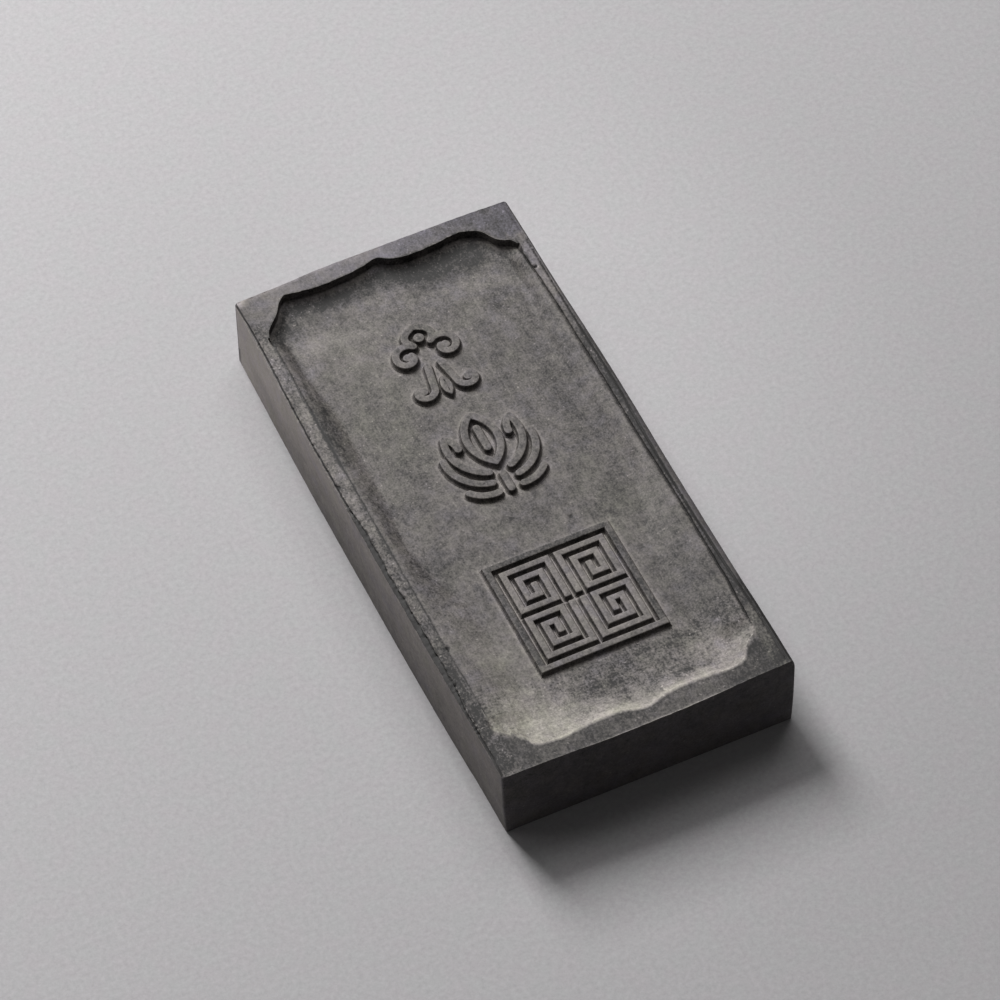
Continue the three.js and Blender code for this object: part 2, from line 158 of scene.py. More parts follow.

# Dust that has settled (or, below zero, been rubbed off) in soft patches of the top, with painted
# shade among those below zero in the far cove and by the left line: middle, half-width,
# half-length, amount, and how yellow it is
DUST_AND_SHADE_PATCHES = (
    (-14, 43, 8, 8, 0.1, 0.2), (14, 48, 7, 4, 0.06, 0), (3, 52, 8, 3, 0.05, 0),
    (-20, 49, 5, 4, 0.1, 0), (-23, 42, 2, 3, 0.1, 0), (-16, 24, 7, 16, 0.02, 0.6),
    (-19, -38, 6, 7, 0.16, 0.4), (-20, -52, 8, 6, 0.26, 0.5), (19, -53, 6, 4, 0.14, 0.1),
    (-12, -53, 5, 3, 0.09, 0.3), (24, 42, 4, 8, 0.03, 0), (18, -14, 8, 10, 0, 0.5),
    (20, 22, 4, 22, -0.03, 0), (19, -8, 5, 10, -0.03, 0), (2, -51, 11, 4, -0.1, 0),
    (-13.5, -47.5, 1.5, 2.5, -0.06, 0), (-6, -52, 3, 2, -0.07, 0), (24, -38, 5, 7, -0.09, 0),
    (27, -50, 2, 4, -0.03, 0), (13, 54, 7, 2, -0.06, 0), (-26.5, 26, 2, 9, -0.12, 0),
    (-24, -30, 3, 10, 0.05, 0), (-22, -14, 5, 5, -0.06, 0), (22, 56, 5, 4, 0.08, 0),
    (11, -55.5, 6, 1.8, -0.13, 0), (-4, -58.7, 5, 0.8, 0.12, 0), (19.5, -51.5, 4, 2, 0.1, 0),
    (19.5, -57.5, 2.5, 1.5, 0.08, 0), (-16.5, -59.3, 3, 0.9, -0.18, 0), (-15, -54, 4, 2, 0.09, 0),
    (26.5, 50.5, 1.6, 2, 0.12, 0), (-5, 54.3, 8, 1.8, 0.1, 0), (14, -54.5, 4, 2, -0.07, 0),
    (-22, 54.5, 2.5, 3, -0.14, 0), (19, 54.5, 3, 2.5, -0.1, 0), (8, 57, 8, 2.4, -0.08, 0),
    (23.5, -53, 2, 1.6, 0.12, 0), (-24, -51, 2.5, 2, 0.13, 0), (-27.4, 27, 0.8, 6, -0.12, 0),
    (-28.4, -38, 0.5, 4, -0.1, 0),
)

# Dust on top of the raised figures, and of the frets in the square
FIGURE_DUST = 0.03
FRET_DUST = 0.13
# From where on a place is on a side's or an end's rim, at its outer edge, or in a cove's zone,
# and how far a side wall reaches to its corners
SIDE_RIM = 27
END_RIM = 56
SIDE_EDGE = 28
END_EDGE = 60
COVE_ZONE = 45
SIDE_WALL_REACH = 63.3
# Depth at which a wall no longer follows its unsteady top edge, and how little most edges chip
STEADY_DEPTH = 0.8
HARDLY_CHIPPED = 0.15
# Least dust in the panel, and the least of the dust and painted shade in its far cove, where the
# grain still shows
LEAST_DUST = -1
FAR_LEAST_DUST_AND_SHADE = -0.22

# Raised ornaments, the same driving sizes as the part's source
RELIEF_HEIGHT = 1.1
STROKE_WIDTH = 1.6
CLOUD_CENTRE = (-0.4, 34)
VOLUTE_CENTRE = (4.15, 2.3)
VOLUTE_RADIUS = 3.2
VOLUTE_START = 0.375
CROWN_BEND = (4.5, 7.5)
CROWN_PEAK = (0, 9.15)
PEARL_HEIGHT = 6.1
PEARL_RADIUS = 1.15
TAIL_TOP = (1.45, -1.3)
TAIL_BEND = (1.95, -3.85)
TAIL_CURL_CENTRE = (4.9, -6.9)
TAIL_CURL_RADIUS = 2.4
TAIL_CURL_START = 0.525
CURL_PITCH = 2.45
CURL_END_RADIUS = 0.95
CURL_EYE_RADIUS = 1
DROP_TOP = -4.6
DROP_FOOT = -9.9
DROP_HALF_WIDTH = 1.15
LOTUS_CENTRE = (0.3, 8.1)
HEART_TIP = 9.7
HEART_FOOT = -2.9
HEART_HALF_WIDTH = 3.2
VEIN = ((0, 0.9), (0, 6.2))
PETAL_ROOT = (2.4, -4.9)
PETAL_TIP = (7.2, 6.3)
PETAL_RETURN = (5.5, 2.9)
PETAL_BULGE = 2.5
PETAL_RETURN_BULGE = 0.5
LEAF_ROOT = (2.9, -7.5)
LEAF_TIP = (9.5, 1.3)
LEAF_BULGE = 2.1
STEM = ((0, -10.2), (0, -6.2))
RIPPLE_START = (2.7, -10.1)
RIPPLE_END = (8.1, -7.9)
RIPPLE_BULGE = 0.7
SQUARE_CENTRE = (0.1, -31.1)
SQUARE_SIDE = 27.3
SQUARE_BAR = 1.4
FRET_MARGIN = 1
FRET_GAP = 1
FRET_BARS_ACROSS = 5

# How finely the surfaces are cut
ACROSS_STEP = 0.43
ALONG_STEP = 0.34
RIM_STEPS = 8
STROKE_STEP = 0.22
CAP_STEPS = 10

# Lamps: turn from the far direction (right is positive) and height in degrees, distance, width
# and length, and power in watts. A softbox behind the far end and a little to the left, a pale
# ceiling that throws some of it back, a low pale wall at the left, and a dim room
SOFTBOX = (-8, 44.5, 1250, 400, 554, 20.3)
CEILING = (34, 60, 1250, 625, 525, 4.06)
LEFT_WALL = (-52, 14, 1250, 875, 375, 2.65)
ROOM_LIGHT = 0.08


def linear(hex_colour):
    """An sRGB hex colour as linear RGBA."""
    channels = [int(hex_colour[i : i + 2], 16) / 255 for i in (1, 3, 5)]
    return [c / 12.92 if c <= 0.04045 else ((c + 0.055) / 1.055) ** 2.4 for c in channels] + [1]


def add(tree, kind, inputs=None, **settings):
    """Adds a node. An input is linked where it is given a node or a socket, and set otherwise.

    A node is linked by the first of its outputs that is in use.
    """
    node = tree.nodes.new(kind)
    for name, value in settings.items():
        setattr(node, name, value)
    for key, value in (inputs or {}).items():
        if isinstance(value, bpy.types.Node):
            value = next(output for output in value.outputs if output.enabled)
        if isinstance(value, bpy.types.NodeSocket):
            tree.links.new(value, node.inputs[key])
        else:
            node.inputs[key].default_value = value
    return node


def calc(tree, operation, *values):
    """A maths node."""
    return add(tree, "ShaderNodeMath", dict(enumerate(values)), operation=operation)


def spread(tree, value, low, high, to_low=0, to_high=1, **settings):
    """A value taken from one range to another, and kept inside it."""
    inputs = {"From Min": low, "From Max": high, "To Min": to_low, "To Max": to_high}
    return add(tree, "ShaderNodeMapRange", {"Value": value} | inputs, **settings)


def mixed(tree, share, first, second):
    """A mix of two colours, all of the second where the share is 1."""
    return add(tree, "ShaderNodeMix", {0: share, 6: first, 7: second}, data_type="RGBA")


def noise(tree, place, size, detail, **inputs):
    """Soft noise with spots of about a size."""
    inputs = {"Vector": place, "Scale": 1 / size, "Detail": detail} | inputs
    return add(tree, "ShaderNodeTexNoise", inputs)


# Lines in plan
def polar(centre, radius, turns):
    angle = np.asarray(turns) * TURN
    return np.stack(
        [centre[0] + radius * np.cos(angle), centre[1] + radius * np.sin(angle)], axis=-1
    )


def mirrored(points):
    return np.asarray(points)[::-1] * (-1, 1)


def arc_between(start, end, bulge, steps=40):
    """A circular arc that bulges to the right of the way from start to end."""
    start, end = np.asarray(start, float), np.asarray(end, float)
    chord = end - start
    length = np.linalg.norm(chord)
    radius = (length**2 / 4 + bulge**2) / (2 * bulge)
    to_right = np.array([chord[1], -chord[0]]) / length
    centre = (start + end) / 2 + to_right * (bulge - radius)
    half_turn = math.asin(length / 2 / radius) / TURN
    middle = math.atan2(to_right[1], to_right[0]) / TURN
    return polar(centre, radius, middle + half_turn * np.linspace(-1, 1, steps + 1))


def bend_between(start, bend, end, steps=40):
    """A smooth bend that leaves start towards the middle point and arrives at end from it."""
    start, bend, end = (np.asarray(p, float) for p in (start, bend, end))
    share = np.linspace(0, 1, steps + 1)[:, None]
    return (1 - share) ** 2 * start + 2 * share * (1 - share) * bend + share**2 * end


def curl(centre, start_radius, start_turn, hand):
    turns = (start_radius - CURL_END_RADIUS) / CURL_PITCH
    share = np.linspace(0, 1, 60)
    radius = start_radius + (CURL_END_RADIUS - start_radius) * share
    return polar(centre, radius, start_turn + hand * turns * share)


def evenly_spaced(path, step, closed=False):
    """The path again with its corners kept and its long runs cut into short ones."""
    path = np.asarray(path, float)
    ends = np.roll(path, -1, axis=0) if closed else path[1:]
    points = []
    for start, end in zip(path, ends):
        count = max(1, round(np.linalg.norm(end - start) / step))
        points += [start + (end - start) * k / count for k in range(count)]
    if not closed:
        points.append(path[-1])
    return np.array(points)


def left_offsets(path, closed):
    """For each point, the way to its left, mitred where the path turns."""
    before = np.roll(path, 1, axis=0)
    after = np.roll(path, -1, axis=0)
    arriving = path - before
    leaving = after - path
    if not closed:
        arriving[0] = leaving[0]
        leaving[-1] = arriving[-1]
    arriving /= np.linalg.norm(arriving, axis=1)[:, None]
    leaving /= np.linalg.norm(leaving, axis=1)[:, None]
    along = arriving + leaving
    along /= np.linalg.norm(along, axis=1)[:, None]
    reach = 1 / np.sum(along * arriving, axis=1)
    return np.stack([-along[:, 1], along[:, 0]], axis=1) * reach[:, None]


def stroke_outline(path, half_width, round_ends):
    """The outline of an open stroke, anticlockwise, with round or square ends."""
    offsets = left_offsets(path, closed=False)
    caps = []
    for end, inner in ((path[-1], path[-2]), (path[0], path[1])):
        outwards = math.atan2(*(end - inner)[::-1]) / TURN
        swing = (np.arange(1, CAP_STEPS) / CAP_STEPS - 0.5) / 2
        reach = half_width
        if not round_ends:
            angle = swing * TURN
            reach = half_width / np.maximum(np.abs(np.cos(angle)), np.abs(np.sin(angle)))
            reach = reach[:, None]
        caps.append(end + reach * polar((0, 0), 1, outwards + swing))
    left, right = path + offsets * half_width, path - offsets * half_width
    return np.concatenate([right, caps[0], left[::-1], caps[1]])


# Meshes
def mesh_object(name, points, faces):
    """A smooth-shaded object from points in millimetres."""
    mesh = bpy.data.meshes.new(name)
    mesh.from_pydata((np.asarray(points) * MM).tolist(), [], faces)
    mesh.shade_smooth()
    mesh.update()
    made = bpy.data.objects.new(name, mesh)
    bpy.context.scene.collection.objects.link(made)
    return made


def loop_faces(start, next_start, count):
    """Four-sided faces between two loops, the second one inside or above the first."""
    return [
        (start + i, start + (i + 1) % count, next_start + (i + 1) % count, next_start + i)
        for i in range(count)
    ]


# Cross-section of the relief from its foot to its top, as drawn in from the stroke's edge and
# height over the panel floor: a soft foot, a flared wall and a rubbed edge.
RELIEF_SECTION = (
    (-0.5, -0.4), (-0.42, -0.03), (-0.32, 0.05), (-0.22, 0.18), (-0.11, 0.46), (-0.02, 0.8),
    (0.02, 0.96), (0.07, 1.05), (0.17, 1.09), (0.34, 1.1),
)


def skin(loops, closed=False):
    """Points and faces between loops of equal length, capped at both ends unless closed."""
    count = len(loops[0])
    steps = len(loops) if closed else len(loops) - 1
    faces = []
    for k in range(steps):
        faces += loop_faces(k * count, (k + 1) % len(loops) * count, count)
    if not closed:
        faces.append(tuple(range(count))[::-1])
        faces.append(tuple(range((len(loops) - 1) * count, len(loops) * count)))
    return np.concatenate(loops), faces


def at_height(loop, z):
    return np.column_stack([loop, np.full(len(loop), z)])


def raised_stroke(path, width=STROKE_WIDTH, round_ends=True):
    """Points and faces of one raised stroke."""
    path = evenly_spaced(path, STROKE_STEP)
    loops = [
        at_height(stroke_outline(path, width / 2 - inset, round_ends), z)
        for inset, z in RELIEF_SECTION
    ]
    loops.append(at_height(stroke_outline(path, 0.02, round_ends), RELIEF_HEIGHT + 0.02))
    return skin(loops)


def raised_plate(loop):
    """Points and faces of one raised plate with a closed outline, anticlockwise."""
    loop = evenly_spaced(loop, STROKE_STEP, closed=True)
    middle = loop.mean(axis=0)
    offsets = left_offsets(loop, closed=True)
    loops = [at_height(loop + offsets * inset, z) for inset, z in RELIEF_SECTION]
    rubbed = loop + offsets * RELIEF_SECTION[-1][0]
    for share in (0.66, 0.33, 0.03):
        loops.append(at_height(middle + (rubbed - middle) * share, RELIEF_HEIGHT + 0.02))
    return skin(loops)


def raised_band(loop, width):
    """Points and faces of one raised band that follows a closed line, anticlockwise."""
    loop = evenly_spaced(loop, STROKE_STEP, closed=True)
    offsets = left_offsets(loop, closed=True)
    half = width / 2
    section = [(-half + inset, z) for inset, z in RELIEF_SECTION]
    section += [(0, RELIEF_HEIGHT + 0.01)]
    section += [(half - inset, z) for inset, z in RELIEF_SECTION[::-1]]
    return skin([at_height(loop + offsets * across, z) for across, z in section], closed=True)


def square_loop(half_side):
    return [
        (half_side, -half_side), (half_side, half_side),
        (-half_side, half_side), (-half_side, -half_side),
    ]


def lens_loop(foot, tip, half_width):
    low, high = (0, foot), (0, tip)
    right = arc_between(low, high, half_width, 60)[:-1]
    left = arc_between(high, low, half_width, 60)[:-1]
    return np.concatenate([right, left])


def circle_loop(centre, radius):
    return polar(centre, radius, np.arange(40) / 40)


def cloud_head():
    volute = curl(VOLUTE_CENTRE, VOLUTE_RADIUS, VOLUTE_START, -1)
    side = bend_between(volute[0], CROWN_BEND, CROWN_PEAK)
    crown = np.concatenate([side, mirrored(side[:-1])])
    strokes = [raised_stroke(path) for path in (crown, volute, mirrored(volute))]
    across, up = VOLUTE_CENTRE
    eyes = [circle_loop((hand * across, up), CURL_EYE_RADIUS) for hand in (1, -1)]
    return strokes + [raised_plate(eye) for eye in eyes]


def cloud_tail():
    spiral = curl(TAIL_CURL_CENTRE, TAIL_CURL_RADIUS, TAIL_CURL_START, 1)
    path = np.concatenate([bend_between(TAIL_TOP, TAIL_BEND, spiral[0])[:-1], spiral])
    return [raised_stroke(path), raised_plate(circle_loop(TAIL_CURL_CENTRE, CURL_EYE_RADIUS))]


def lotus_petal():
    return [
        raised_stroke(arc_between(PETAL_ROOT, PETAL_TIP, PETAL_BULGE)),
        raised_stroke(arc_between(PETAL_TIP, PETAL_RETURN, PETAL_RETURN_BULGE)),
    ]


def fret_quarter():
    """The upper right quarter of the fret: one bar that turns inwards."""
    quarter = SQUARE_SIDE / 2 - SQUARE_BAR - FRET_MARGIN - FRET_GAP / 2
    bar = (quarter - (FRET_BARS_ACROSS - 1) * FRET_GAP) / FRET_BARS_ACROSS
    pitch = bar + FRET_GAP
    low = (FRET_GAP + bar) / 2
    high = low + (FRET_BARS_ACROSS - 1) * pitch
    path = [(low, low)]
    for turn in range((FRET_BARS_ACROSS - 1) // 2):
        near, far = low + turn * pitch, high - turn * pitch
        path += [(near, far), (far, far), (far, near), (near + pitch, near)]
    path.append((path[-1][0], path[-1][1] + pitch))
    return [raised_stroke(path, bar, round_ends=False)]


def relief_marks(points, on_top):
    """Dust on raised ink: on_top of it, little on its walls and some round its foot."""
    height = points[:, 2] - PANEL_FLOOR
    top_share = np.clip((height - 0.8) / 0.16, 0, 1)
    wall_dust = np.interp(height, [0, 0.1, 0.3], [0.14, 0.06, -0.08])
    worn_edge = np.interp(height, [0.96, 1.03, 1.08, 1.1], [0, 0.1, 0.08, 0])
    dust_and_painted_light = wall_dust + (on_top + worn_edge - wall_dust) * top_share
    return {"dust_and_painted_light": dust_and_painted_light, "tint": 0 * dust_and_painted_light, "mottle": 0 * dust_and_painted_light + 1}


def border_dust(points):
    """The square's border is worn darker than what it holds, but for its near bar."""
    near_bar = points[:, 1] < SQUARE_CENTRE[1] - SQUARE_SIDE / 2 + SQUARE_BAR
    return np.where(near_bar, 0.05, -0.1)


# The block
def smooth_cut(points, x):
    """The cut line through listed points, smooth between them."""
    px, py = np.array(points, float).T
    slope = np.gradient(py, px)
    k = np.clip(np.searchsorted(px, x, side="right") - 1, 0, len(px) - 2)
    width = px[k + 1] - px[k]
    t = np.clip((x - px[k]) / width, 0, 1)
    return (
        (2 * t**3 - 3 * t**2 + 1) * py[k]
        + (t**3 - 2 * t**2 + t) * width * slope[k]
        + (-2 * t**3 + 3 * t**2) * py[k + 1]
        + (t**3 - t**2) * width * slope[k + 1]
    )


def straight_cut(points, x):
    """The line through listed points, straight between them."""
    return np.interp(x, *zip(*points))


def near_to(away, width):
    """1 where there is no distance, soon 0 beyond a width of it."""
    return np.exp(-((away / width) ** 2))


def wall_inset(z, shoulder, foot_inset):
    """How far a wall is drawn in from its widest line at a height."""
    inset, drop = shoulder
    widest = BLOCK_HEIGHT - drop
    if z > widest:
        rise = min((z - widest) / drop, 1)
        return inset * (1 - math.sqrt(1 - rise**2))
    fall = (widest - z) / widest
    foot_rise = max(1 - z / FOOT_RADIUS, 0)
    return foot_inset * fall**2 + FOOT_RADIUS * (1 - math.sqrt(1 - foot_rise**2))


def right_wall(y, z):
    shoulder = (smooth_cut(RIGHT_SHOULDER, y), RIGHT_SHOULDER_DROP)
    return smooth_cut(RIGHT_SIDE, y) - wall_inset(z, shoulder, RIGHT_FOOT_INSET)


def left_wall(y, z):
    foot_inset = smooth_cut(LEFT_FOOT_INSET, y)
    return smooth_cut(LEFT_SIDE, y) - wall_inset(z, LEFT_SHOULDER, foot_inset)


def end_wall(x, z, far):
    """Reach of an end wall: bowed at its top edge and straight at the foot."""
    top = np.where(far, smooth_cut(FAR_EDGE, x), smooth_cut(NEAR_EDGE, x)) + END_SHOULDER[0]
    foot = np.where(far, FAR_FOOT, NEAR_FOOT + NEAR_FOOT_SKEW * x / PANEL_HALF_WIDTH)
    lean = (foot - top) * (1 - z / BLOCK_HEIGHT)
    return top + lean - wall_inset(z, END_SHOULDER, 0)


def wobble(along, pitch, seed):
    """The unsteadiness of a hand or a worn mould along a line: smooth, between -1 and 1."""
    knots = np.random.default_rng(seed).uniform(-1, 1, 600)
    place = np.asarray(along) / pitch + 300
    low = np.floor(place).astype(int)
    share = place - low
    eased = share**2 * (3 - 2 * share)
    return knots[low] * (1 - eased) + knots[low + 1] * eased


def floor_depth(y):
    """Depth of the panel's floor: a little deeper where it nears the far wall."""
    share = np.clip((y - 45) / 8, 0, 1)
    return PANEL_DEPTH + (FAR_DEPTH - PANEL_DEPTH) * share**2 * (3 - 2 * share)


def side_profile(inside, y):
    """Depth of the panel at a distance inside its side line: a scored line, then a soft dip."""
    scored = straight_cut(SCORED_LINE, inside)
    start = SCORED_LINE[-1][0]
    run = straight_cut(SIDE_DIP_RUN, y)
    share = np.clip((inside - start) / (run - start), 0, 1)
    return scored + (floor_depth(y) - SIDE_LIP) * share**1.15 * (1 - (1 - share) ** 1.6) ** 0.35


def far_profile(inside):
    """Depth of the panel inside its far line: an almost upright wall, with a cove at its foot."""
    share = np.clip((inside - FAR_WALL_RUN) / FAR_COVE_RUN, 0, 1)
    wall = np.interp(inside, [0, 0.1, FAR_WALL_RUN], [0, FAR_WALL, FAR_WALL])
    return wall + (FAR_DEPTH - FAR_WALL) * (1 - (1 - share) ** 2)


def near_profile(inside):
    """Depth of the panel inside its near line: hardly a lip, then a long cove to the light."""
    share = np.clip((inside - NEAR_LIP_RUN) / NEAR_COVE_RUN, 0, 1)
    lip = np.interp(inside, [0, NEAR_LIP_RUN], [0, NEAR_LIP])
    return lip + (PANEL_DEPTH - NEAR_LIP) * (1 - (1 - share) ** 2)


def soft_least(a, b, blend):
    """The smaller of two depths, rounded where they are nearly equal."""
    mix = np.clip(0.5 + (b - a) / (2 * blend), 0, 1)
    return b + (a - b) * mix - blend * mix * (1 - mix)


def top_columns():
    """Across the top: the x of each column inside the panel, and how far it is out on a rim."""
    from_side = np.array([0, 0.08, 0.2, 0.36, 0.6, 0.95, 1.4])
    inner = PANEL_HALF_WIDTH - from_side[-1]
    middle = np.linspace(-inner, inner, round(2 * inner / ACROSS_STEP) + 1)[1:-1]
    left = from_side - PANEL_HALF_WIDTH
    inside = np.concatenate([left, middle, -left[::-1]])
    rim = 1 - np.linspace(1, 0, RIM_STEPS + 1)[1:] ** 1.5
    edge = np.full(RIM_STEPS, PANEL_HALF_WIDTH)
    x = np.concatenate([-edge, inside, edge])
    out = np.concatenate([-rim[::-1], np.zeros(len(inside)), rim])
    return x, out


def top_rows():
    """Along the top: plain y in the middle, share of the way to an end cut, and out on a rim."""
    count = round(2 * END_ZONE_START / ALONG_STEP) + 1
    middle = np.linspace(-END_ZONE_START, END_ZONE_START, count)
    zone = 1 - np.linspace(1, 0, 40)[1:] ** 1.25
    zone = np.sort(np.concatenate([zone, [0.9945, 0.988, 0.978, 0.964]]))
    rim = 1 - np.linspace(1, 0, RIM_STEPS + 3)[1:] ** 1.5
    end = np.full(len(rim) + len(zone), END_ZONE_START)
    y = np.concatenate([-end, middle, end])
    ends_share = np.concatenate([zone, np.ones(len(rim))])
    towards_end = np.concatenate([-ends_share[::-1], np.zeros(count), ends_share])
    out = np.concatenate([-rim[::-1], np.zeros(2 * len(zone) + count), rim])
    return y, towards_end, out


def left_ledge(y):
    """Width of the ledge where the left edge has broken away."""
    return smooth_cut(LEDGE, y).clip(0) * (0.85 + 0.15 * wobble(y, 2.2, 5))


def side_flutter(x, y):
    """Unsteadiness of the top's long edges, which the walls below do not share."""
    return np.where(x < 0, 0.05 * wobble(y, 1.1, 4), 0.03 * wobble(y, 2, 10))


def end_flutter(x):
    """Unsteadiness of the top's short edges."""
    return 0.03 * wobble(x, 1.3, 3)


def end_lines(column_x, column_out, far):
    """Reach of the panel's cut and of the block's edge at an end, for each column."""
    far_cut = smooth_cut(FAR_END_CUT, column_x) + 0.07 * wobble(column_x, 0.7, 1)
    near_cut = smooth_cut(NEAR_END_CUT, column_x) + 0.12 * wobble(column_x, 0.9, 2)
    rim_width = right_wall(0, BLOCK_HEIGHT) - PANEL_HALF_WIDTH
    rough_x = column_x + column_out * rim_width
    edge = end_wall(rough_x, BLOCK_HEIGHT, far) + end_flutter(rough_x)
    return np.where(far, far_cut, near_cut), edge


def side_edge(column_out, y):
    """Reach of the block's long edges at the top."""
    left = left_wall(y, BLOCK_HEIGHT) - left_ledge(y)
    edge = np.where(column_out < 0, left, right_wall(y, BLOCK_HEIGHT))
    return edge + side_flutter(column_out + 0 * y, y)


def side_line_shift(column_x, y):
    """How far the panel's side lines are off straight ones: bent outwards, and unsteady."""
    unsteady = 0.06 * wobble(y, 3.1, 6) + 0.03 * wobble(y, 0.9, 7)
    bow = smooth_cut(PANEL_SIDE_BOW, y)
    bow = bow + (column_x > 0) * RIGHT_EXTRA_BOW * np.clip((52 - np.abs(y)) / 10, 0, 1)
    return unsteady + np.sign(column_x) * bow


def panel_depth(y, from_side, from_cut):
    """Depth of the panel inside its sides and its ends."""
    ends = np.where(y > 0, far_profile(from_cut.clip(0)), near_profile(from_cut.clip(0)))
    side = side_profile(from_side, y)
    side = side + (ends - side).clip(0) * np.clip((np.abs(y) - 50) / 4, 0, 1)
    return soft_least(side, ends, 0.3).clip(0)


def top_grid(from_figures):
    """The whole top as a grid of points whose lines follow the panel's outline, and its marks."""
    column_x, column_out = top_columns()
    row_y, row_share, row_out = (row[:, None] for row in top_rows())
    cut, end_edge = end_lines(column_x, column_out, row_share > 0)
    reach = END_ZONE_START + np.abs(row_share) * (cut - END_ZONE_START)
    reach = reach + np.abs(row_out) * (end_edge - cut)
    y = np.where(row_share == 0, row_y, np.sign(row_share) * reach)
    edge_x = side_edge(column_out, y)
    near_line = np.exp(-np.abs(np.abs(column_x) - PANEL_HALF_WIDTH) / 1.2)
    x = column_x + column_out * (edge_x - PANEL_HALF_WIDTH)
    x = x + side_line_shift(column_x, y) * near_line * (1 - np.abs(column_out))
    x, y = rounded_corners(x, y, edge_x, end_edge + 0 * x)

    in_panel = (column_out == 0) & (row_out == 0)
    from_side = PANEL_HALF_WIDTH - np.abs(column_x) + 0 * y
    from_cut = cut - np.abs(y)
    from_end = (end_edge - np.abs(y)).clip(0) + 0 * x
    from_edge = np.minimum(edge_x - np.abs(x), from_end).clip(0)
    sunk = panel_depth(y, from_side, from_cut) + RIM_DIP
    z = BLOCK_HEIGHT - np.where(in_panel, sunk, rim_depth(x, from_edge)) - pits(x, y)
    inside = np.where(in_panel, np.minimum(from_side, from_cut), -1)
    marks = top_marks(x, y, inside, from_cut, from_edge, from_end, from_figures(x, y))
    return np.stack([x, y, z], axis=-1), marks


def rim_depth(x, from_edge):
    """How far the rim lies below the fin of ink at the block's edge, with a crease at the right."""
    dip = 0.02 + RIM_DIP * np.clip(from_edge / FIN_WIDTH, 0, 1)
    crease = np.clip(1 - np.abs(from_edge - CREASE_IN) / CREASE_IN, 0, 1)
    return dip + CREASE_DEPTH * crease * (x > SIDE_EDGE)


def pits(x, y):
    """Depth of the small pits that air or a knock left in the top."""
    depth = 0 * x
    for pit_x, pit_y, radius, deepest in PITS:
        away = np.hypot(x - pit_x, (y - pit_y) * 0.8) / radius
        depth += deepest * np.clip(1 - away**2, 0, 1)
    return depth


def patches(x, y):
    """Dust, painted shade and yellowness of the soft patches on the top."""
    dust_and_painted_light, tint = 0 * x, 0 * x
    for mid_x, mid_y, half_width, half_length, amount, yellow in DUST_AND_SHADE_PATCHES:
        away = ((x - mid_x) / half_width) ** 2 + ((y - mid_y) / half_length) ** 2
        dust_and_painted_light += amount * np.exp(-1.2 * away)
        tint += yellow * np.exp(-1.2 * away)
    return dust_and_painted_light, tint


def scratches(x, y):
    """Dust in the scratches of the top."""
    dust_and_painted_light = 0 * x
    for start, end, half_width, amount in SCRATCHES:
        run_x, run_y = end[0] - start[0], end[1] - start[1]
        share = ((x - start[0]) * run_x + (y - start[1]) * run_y) / (run_x**2 + run_y**2)
        share = np.clip(share, 0, 1)
        away = np.hypot(x - start[0] - share * run_x, y - start[1] - share * run_y)
        dust_and_painted_light += amount * near_to(away, half_width)
    return dust_and_painted_light


# Dust on the near cove and its yellowness, and how much painted shade there is in the deepest
# part of the far one, from left to right
NEAR_COVE_DUST = ((-26, 0.12), (-22, 0.42), (-16, 0.46), (8, 0.54), (22, 0.4), (27, 0.2))
NEAR_COVE_TINT = ((-25, 0.4), (8, 0.45), (22, 0.15))
DEEP_SHADE_SHARE = ((-24, 0.5), (-19, 1.3), (2, 1), (4, 1.25), (19, 1.2), (23, 0))


def near_cove_dust_and_highlight(x, y, from_cut):
    """The thick dust on the near cove, a painted highlight along its lip, and how yellow it is."""
    near = y < -COVE_ZONE
    reach = np.interp(x, [-14, -8], [5, 3])
    cove = near * np.exp(-((from_cut.clip(0) / reach) ** 1.1))
    dust_and_painted_light = cove * (straight_cut(NEAR_COVE_DUST, x) + 0.08 * wobble(x, 3, 8))
    # Painted highlight: a thin bright line just inside the near cut
    lip = 0.07 * near * near_to(from_cut - 0.35, 0.35)
    return dust_and_painted_light + lip, cove * straight_cut(NEAR_COVE_TINT, x)


def far_cove_shade_and_dust(x, y, from_cut):
    """Painted shade on the far cove, and dust at its wall's foot that lightens the shadow there."""
    far = y > COVE_ZONE
    cove_shade_reach = np.clip(1.3 - from_cut.clip(0) / np.interp(x, [-4, 4], [6.5, 9]), 0, 1)
    # Painted shade on the cove where the far wall's shadow falls, stronger to the right
    rubbed = far * cove_shade_reach * (0.12 + 0.06 * np.clip((x + 4) / 10, 0, 1))
    # More painted shade a little way out from the wall
    deepest = far * np.interp(from_cut, [0.3, 1.2, 4, 6], [0, 0.08, 0.07, 0])
    # Dust at the wall's foot, which is also painted light that lightens the wall's shadow there
    caught_dust_and_fill_light = (y > 52) * np.interp(from_cut, [0.2, 0.5, 1.3, 2], [0.08, 0.3, 0.2, 0])
    return -rubbed - deepest * straight_cut(DEEP_SHADE_SHARE, x) + caught_dust_and_fill_light


